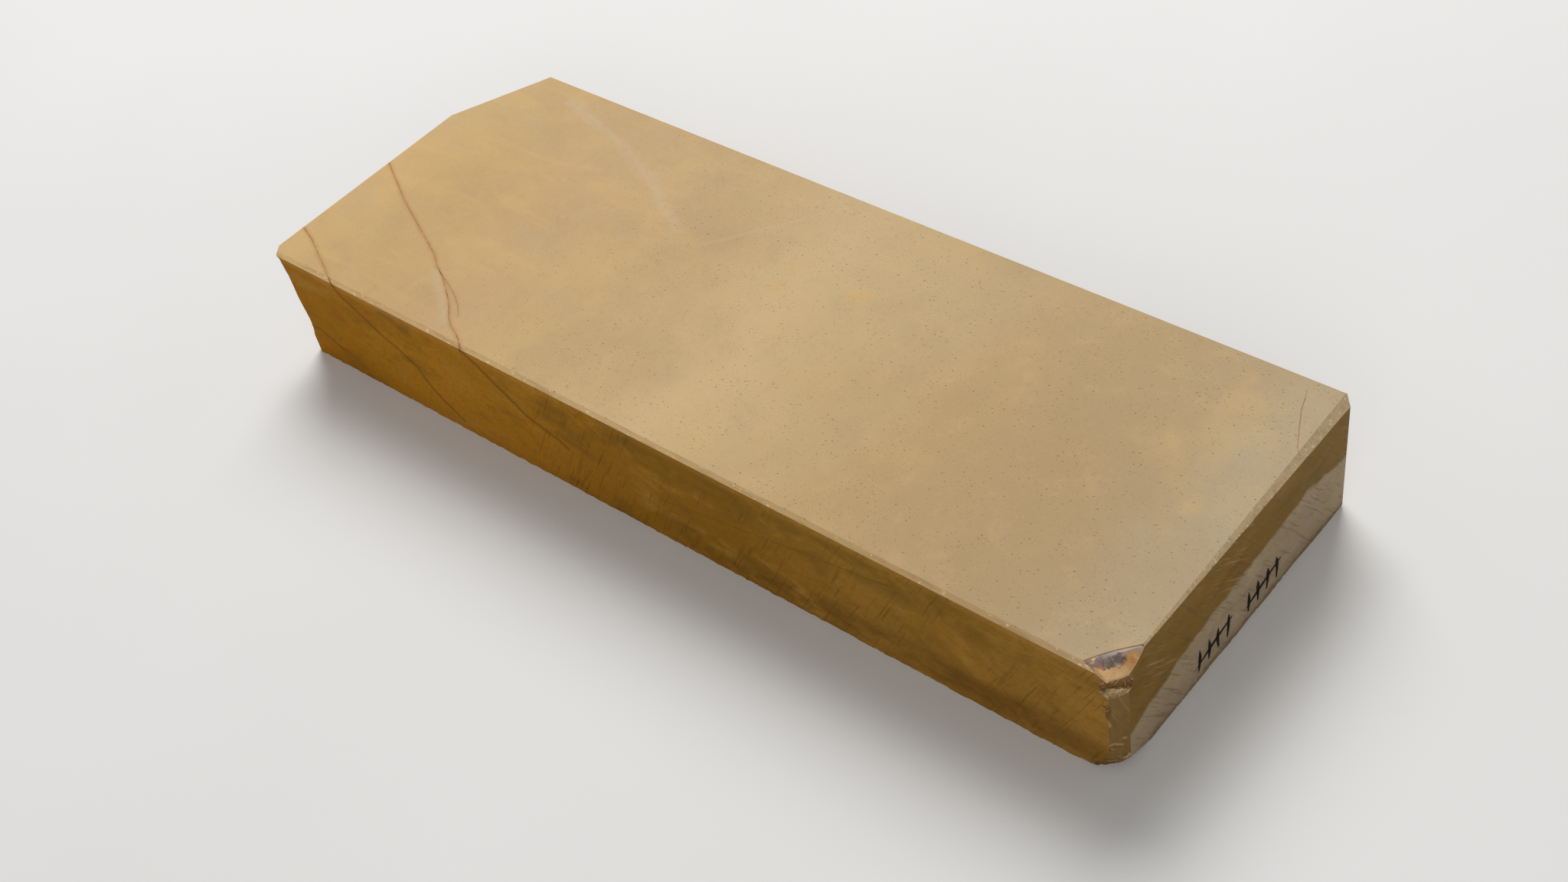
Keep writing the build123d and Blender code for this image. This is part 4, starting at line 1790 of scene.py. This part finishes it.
# ---------------------------------------------------------------- seams
@dataclass
class Seam:
    """The visible edge of one healed crack, let into the stone's skin."""

    node: str
    finish: bpy.types.Material
    places: tuple[tuple[float, float, float], ...]
    width: float
    across: Vector
    wander: float = 0.08
    step: float = 1.4
    depth: float = 0.25
    on_side: float = 0.72
    taper_start: bool = False
    taper_end: bool = True

    def route(self) -> list[tuple[Vector, float]]:
        """Even steps along the trace, with small wanderings, and the width at each.

        Returns:
            Places and widths, mm.
        """
        marks: list[tuple[Vector, float]] = []
        corners = [Vector(place) for place in self.places]
        total = sum((b - a).length for a, b in zip(corners, corners[1:]))
        done = 0.0
        for first, second in zip(corners, corners[1:]):
            run = second - first
            count = max(1, round(run.length / self.step))
            for index in range(count):
                share = index / count
                place = first + run * share
                at = (done + run.length * share) / total
                marks.append((place, at))
            done += run.length
        marks.append((corners[-1], 1.0))
        route = []
        for index, (place, at) in enumerate(marks):
            sway = noise.noise(place * 0.45 + Vector((0, 0, 3.1))) * self.wander
            if index in (0, len(marks) - 1):
                sway = 0.0
            slow = abs(noise.noise(place * 0.3 + Vector((9.0, 0, 0))))
            swell = 0.72 + 0.75 * slow + 0.25 * noise.noise(place * 1.3)
            start = min(1.0, 0.12 + at * 6.0) if self.taper_start else 1.0
            end = min(1.0, 0.12 + (1.0 - at) * 6.0) if self.taper_end else 1.0
            swell *= self.on_side if place.y < NEAR_Y + 0.05 else 1.0
            route.append((place + self.across * sway, self.width * swell * start * end))
        return route

    def build(self) -> bpy.types.Object:
        """Draw the seam step by step from one short edge.

        Returns:
            The finished seam.
        """
        route = self.route()
        rest_everything()
        bpy.ops.mesh.primitive_plane_add(size=1.0, location=(0, 0, 0))
        piece = bpy.context.object
        piece.name = self.node + "_vein"
        span = self.spread(route, 0)
        with shaping(piece):
            bpy.ops.mesh.select_mode(type="VERT")
            select_points(piece, lambda p: p.y > 0)
            bpy.ops.mesh.delete(type="VERT")
            bpy.ops.mesh.select_all(action="SELECT")
            bpy.ops.transform.translate(value=(0.0, 0.5, 0.0))
            if abs(self.across.z) > 0.5:
                bpy.ops.transform.rotate(value=math.pi / 2, orient_axis="Y", center_override=(0, 0, 0))
            bpy.ops.transform.resize(value=(span * MM,) * 3, center_override=(0, 0, 0))
            bpy.ops.transform.translate(value=route[0][0] * MM)
            for index in range(1, len(route)):
                move = (route[index][0] - route[index - 1][0]) * MM
                bpy.ops.mesh.extrude_edges_move(TRANSFORM_OT_translate={"value": move})
                now = self.spread(route, index)
                bpy.ops.transform.resize(value=(now / span,) * 3, center_override=route[index][0] * MM)
                span = now
            bpy.ops.mesh.select_all(action="SELECT")
            bpy.ops.mesh.normals_make_consistent(inside=False)
        self.turn_up(piece)
        thick = piece.modifiers.new("depth", "SOLIDIFY")
        thick.thickness = self.depth * MM
        thick.offset = -1.0
        apply_modifier(piece, thick)
        paint(piece, self.finish)
        settle(piece, 30.0)
        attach(piece, "root")
        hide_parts(self.node)
        return piece

    def spread(self, route: list[tuple[Vector, float]], index: int) -> float:
        """How long the cross edge is, so that the seam has its width square to its run.

        Args:
            route: The seam's places and widths, mm.
            index: Which place.

        Returns:
            The length, mm.
        """
        before = route[max(0, index - 1)][0]
        after = route[min(len(route) - 1, index + 1)][0]
        run = (after - before).normalized()
        return route[index][1] / max(0.25, run.cross(self.across).length)

    def turn_up(self, piece: bpy.types.Object) -> None:
        """Turn the strip over if it faces into the stone.

        Args:
            piece: The strip.
        """
        total = Vector((0.0, 0.0, 0.0))
        for face in piece.data.polygons:
            total += face.normal
        if total.dot(Vector((0.0, -0.7, 0.7))) < 0:
            with shaping(piece):
                bpy.ops.mesh.select_all(action="SELECT")
                bpy.ops.mesh.flip_normals()


def fold_over(top: tuple, side: tuple) -> tuple:
    """A trace that runs off the honing face, over the near bevel and down the near side.

    Args:
        top: Its trace on the honing face, ending near the bevel.
        side: Its trace on the near side.

    Returns:
        The places of the whole trace.
    """
    last, first = top[-1], side[0]
    head = (last[0] + 0.1, NEAR_Y + NEAR_BEVEL, HEIGHT)
    foot = (first[0] - 0.3, NEAR_Y, HEIGHT - NEAR_BEVEL_DROP)
    return on_top(top[:-1]) + (head, foot) + on_side(side[1:])


@dataclass
class Seams:
    """All seven seams."""

    finishes: dict[str, bpy.types.Material]

    def build(self) -> list[bpy.types.Object]:
        """Make the seams.

        Returns:
            The finished seams.
        """
        along, upright = Vector((1.0, 0.0, 0.0)), Vector((0.0, 0.0, 1.0))
        brown, dark = self.finishes["seam_brown"], self.finishes["seam_dark"]
        pale, rust = self.finishes["seam_pale"], self.finishes["seam_rust"]
        seams = [
            Seam("long_seam", brown, fold_over(LONG_TRACE, LONG_SIDE_TRACE), 0.34, along),
            Seam("branch_seam", brown, on_top(BRANCH_TRACE), 0.2, along, taper_start=True),
            Seam("short_seam", brown, fold_over(SHORT_TRACE, SHORT_SIDE_TRACE), 0.3, along),
            Seam("low_seam", dark, on_side(LOW_TRACE), 0.3, upright, taper_start=True),
            Seam("side_seam", dark, on_side(SIDE_TRACE), 0.16, upright, taper_start=True),
            Seam("pale_seam", pale, on_top(PALE_TRACE), 0.16, along, taper_start=True),
            Seam("rust_seam", rust, on_top(RUST_TRACE), 0.2, along, taper_start=True, taper_end=False),
        ]
        return [seam.build() for seam in seams]


# ---------------------------------------------------------------- ink
@dataclass
class Tally:
    """Plain brush strokes on the right end: two groups of four with one across."""

    finish: bpy.types.Material
    stroke_height: float = 6.2
    stroke_width: float = 1.0
    pitch: float = 2.9
    count: int = 4
    group_pitch: float = 15.0
    groups: int = 2
    tilt: float = 14.0
    from_near: float = 35.6
    above_bed: float = 5.6
    seed: int = 5

    def stroke(self, middle: Vector, length: float, turn: float, rng: random.Random) -> bpy.types.Object:
        """One brush stroke, drawn in steps and swelling as the brush presses.

        Args:
            middle: Its middle on the end face: across from the near side and up, mm.
            length: Its length, mm.
            turn: Its turn from upright, degrees.
            rng: The source of its small differences.

        Returns:
            The stroke, flat on the YZ plane.
        """
        steps = 14
        rest_everything()
        bpy.ops.mesh.primitive_plane_add(size=1.0, location=(0, 0, 0))
        piece = bpy.context.object
        press = rng.uniform(0.25, 0.55)
        widths = []
        for index in range(steps + 1):
            share = index / steps
            if share < press:
                swell = math.sin(math.pi * (share / press) / 2)
            else:
                swell = 1.0 - 0.6 * ((share - press) / (1 - press)) ** 1.5
            widths.append(self.stroke_width * max(0.14, swell) * rng.uniform(0.93, 1.05))
        lean = rng.uniform(-3.0, 3.0)
        bow = rng.uniform(-0.25, 0.25)
        with shaping(piece):
            bpy.ops.mesh.select_mode(type="VERT")
            select_points(piece, lambda p: p.y < 0)
            bpy.ops.mesh.delete(type="VERT")
            bpy.ops.mesh.select_all(action="SELECT")
            bpy.ops.transform.translate(value=(0, -0.5, 0))
            bpy.ops.transform.resize(value=(widths[0] * MM,) * 3, center_override=(0, 0, 0))
            bpy.ops.transform.translate(value=(0, length / 2 * MM, 0))
            centre = Vector((0.0, length / 2 * MM, 0.0))
            for index in range(1, steps + 1):
                sway = bow * (math.sin(math.pi * index / steps) - math.sin(math.pi * (index - 1) / steps))
                move = Vector((sway * MM, -length / steps * MM, 0.0))
                centre += move
                bpy.ops.mesh.extrude_edges_move(TRANSFORM_OT_translate={"value": move})
                bpy.ops.transform.resize(
                    value=(widths[index] / widths[index - 1],) * 3, center_override=centre
                )
        angle = math.radians(turn + lean)
        spin = Matrix.Rotation(angle, 4, "Z")
        stand = Matrix(((0, 0, 1, 0), (1, 0, 0, 0), (0, 1, 0, 0), (0, 0, 0, 1)))
        tip = Matrix.Rotation(math.atan(LEAN), 4, "Y")
        place = Matrix.Translation(vec(along_x(middle.y) + 0.002, NEAR_Y + middle.x, middle.y))
        piece.matrix_world = place @ tip @ stand @ spin
        take(piece)
        bpy.ops.object.transform_apply(location=True, rotation=True, scale=True)
        return piece

    def build(self) -> bpy.types.Object:
        """Draw all the strokes.

        Returns:
            The finished tally.
        """
        rng = random.Random(self.seed)
        strokes = []
        for group in range(self.groups):
            centre = self.from_near + (group - (self.groups - 1) / 2) * self.group_pitch
            for index in range(self.count):
                across = centre + (index - (self.count - 1) / 2) * self.pitch
                middle = Vector((across, self.above_bed + rng.uniform(-0.2, 0.2)))
                strokes.append(self.stroke(middle, self.stroke_height * rng.uniform(0.86, 0.98), 0.0, rng))
            length = math.hypot(self.pitch * self.count, self.stroke_height / 2)
            strokes.append(
                self.stroke(Vector((centre, self.above_bed)), length * 0.97, 90.0 + self.tilt, rng)
            )
        rest_everything()
        for stroke in strokes:
            stroke.select_set(True)
        bpy.context.view_layer.objects.active = strokes[0]
        bpy.ops.object.join()
        piece = bpy.context.object
        piece.name = "ink_tally"
        with shaping(piece):
            bpy.ops.mesh.select_all(action="SELECT")
            bpy.ops.mesh.normals_make_consistent(inside=False)
        with shaping(piece):
            mesh = bmesh.from_edit_mesh(piece.data)
            bpy.ops.mesh.select_all(action="DESELECT")
            for face in mesh.faces:
                if face.normal.x < 0:
                    face.select_set(True)
            bmesh.update_edit_mesh(piece.data)
            bpy.ops.mesh.flip_normals()
        soak = piece.modifiers.new("soak", "SOLIDIFY")
        soak.thickness = 0.1 * MM
        soak.offset = -1.0
        apply_modifier(piece, soak)
        paint(piece, self.finish)
        settle(piece, 30.0)
        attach(piece, "root")
        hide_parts("ink_strokes")
        return piece


# ---------------------------------------------------------------- the studio
@dataclass
class Studio:
    """A plain pale floor, soft lights and the camera."""

    camera_place: tuple[float, float, float] = (0.23979, -0.19899, 0.30178)
    camera_target: tuple[float, float, float] = (0.02496, -0.02242, 0.0273)
    camera_roll: float = 14.59
    lens: float = 51.32

    def camera(self) -> None:
        """Place the camera."""
        data = bpy.data.cameras.new("view")
        data.lens = self.lens
        data.sensor_width = 36.0
        data.clip_start = 0.01
        data.clip_end = 50.0
        camera = bpy.data.objects.new("view", data)
        bpy.context.scene.collection.objects.link(camera)
        place, target = Vector(self.camera_place), Vector(self.camera_target)
        forward = (target - place).normalized()
        level_right = forward.cross(Vector((0, 0, 1))).normalized()
        level_up = level_right.cross(forward)
        roll = math.radians(self.camera_roll)
        up = level_up * math.cos(roll) + level_right * math.sin(roll)
        right = forward.cross(up)
        turn = Matrix((right, up, -forward)).transposed().to_4x4()
        camera.matrix_world = Matrix.Translation(place) @ turn
        bpy.context.scene.camera = camera

    def softbox(self, name: str, place: tuple[float, float, float], size: float, power: float) -> None:
        """One square soft light that faces the stone.

        Args:
            name: The light's name.
            place: Where it hangs, m.
            size: Its side, m.
            power: Its power, W.
        """
        data = bpy.data.lights.new(name, "AREA")
        data.shape = "SQUARE"
        data.size = size
        data.energy = power
        light = bpy.data.objects.new(name, data)
        bpy.context.scene.collection.objects.link(light)
        light.location = place
        light.rotation_euler = (Vector((0, 0, 0)) - Vector(place)).to_track_quat("-Z", "Y").to_euler()

    def floor(self) -> None:
        """Lay the floor."""
        rest_everything()
        bpy.ops.mesh.primitive_grid_add(x_subdivisions=24, y_subdivisions=24, size=8.0, location=(0, 0, 0))
        floor = bpy.context.object
        floor.name = "floor"
        look = Finish("pale_floor", 0.85, 0.01, 2.0)
        soft = look.w.clouds(look.where, 0.01, 3.0)
        paint(floor, look.finish(look.w.blend(soft, shade(232, 231, 229), shade(239, 238, 236))))

    def build(self) -> None:
        """Set the studio up."""
        self.camera()
        self.floor()
        self.softbox("key", (-0.55, 0.75, 1.1), 0.9, 18.2)
        self.softbox("fill", (0.9, -1.0, 0.9), 1.2, 6.3)
        world = bpy.data.worlds.new("studio")
        world.use_nodes = True
        sky = world.node_tree.nodes["Background"]
        sky.inputs["Color"].default_value = (1.0, 1.0, 1.0, 1.0)
        sky.inputs["Strength"].default_value = 0.22
        bpy.context.scene.world = world
        bpy.context.scene.view_settings.view_transform = "Standard"


def main() -> None:
    """Build the whetstone round its frame."""
    logging.basicConfig(level=logging.INFO, format="%(name)s: %(message)s")
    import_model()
    Effects().build()
    Studio().build()
    finishes = StoneFinishes().build()
    block = Block(finishes)
    made = [block.build(), Crust(block).build()]
    made += Seams(finishes).build()
    made.append(Tally(finishes["soaked_ink"]).build())
    for piece in made:
        LOG.info("%s: %d faces", piece.name, len(piece.data.polygons))


if __name__ == "__main__":
    main()
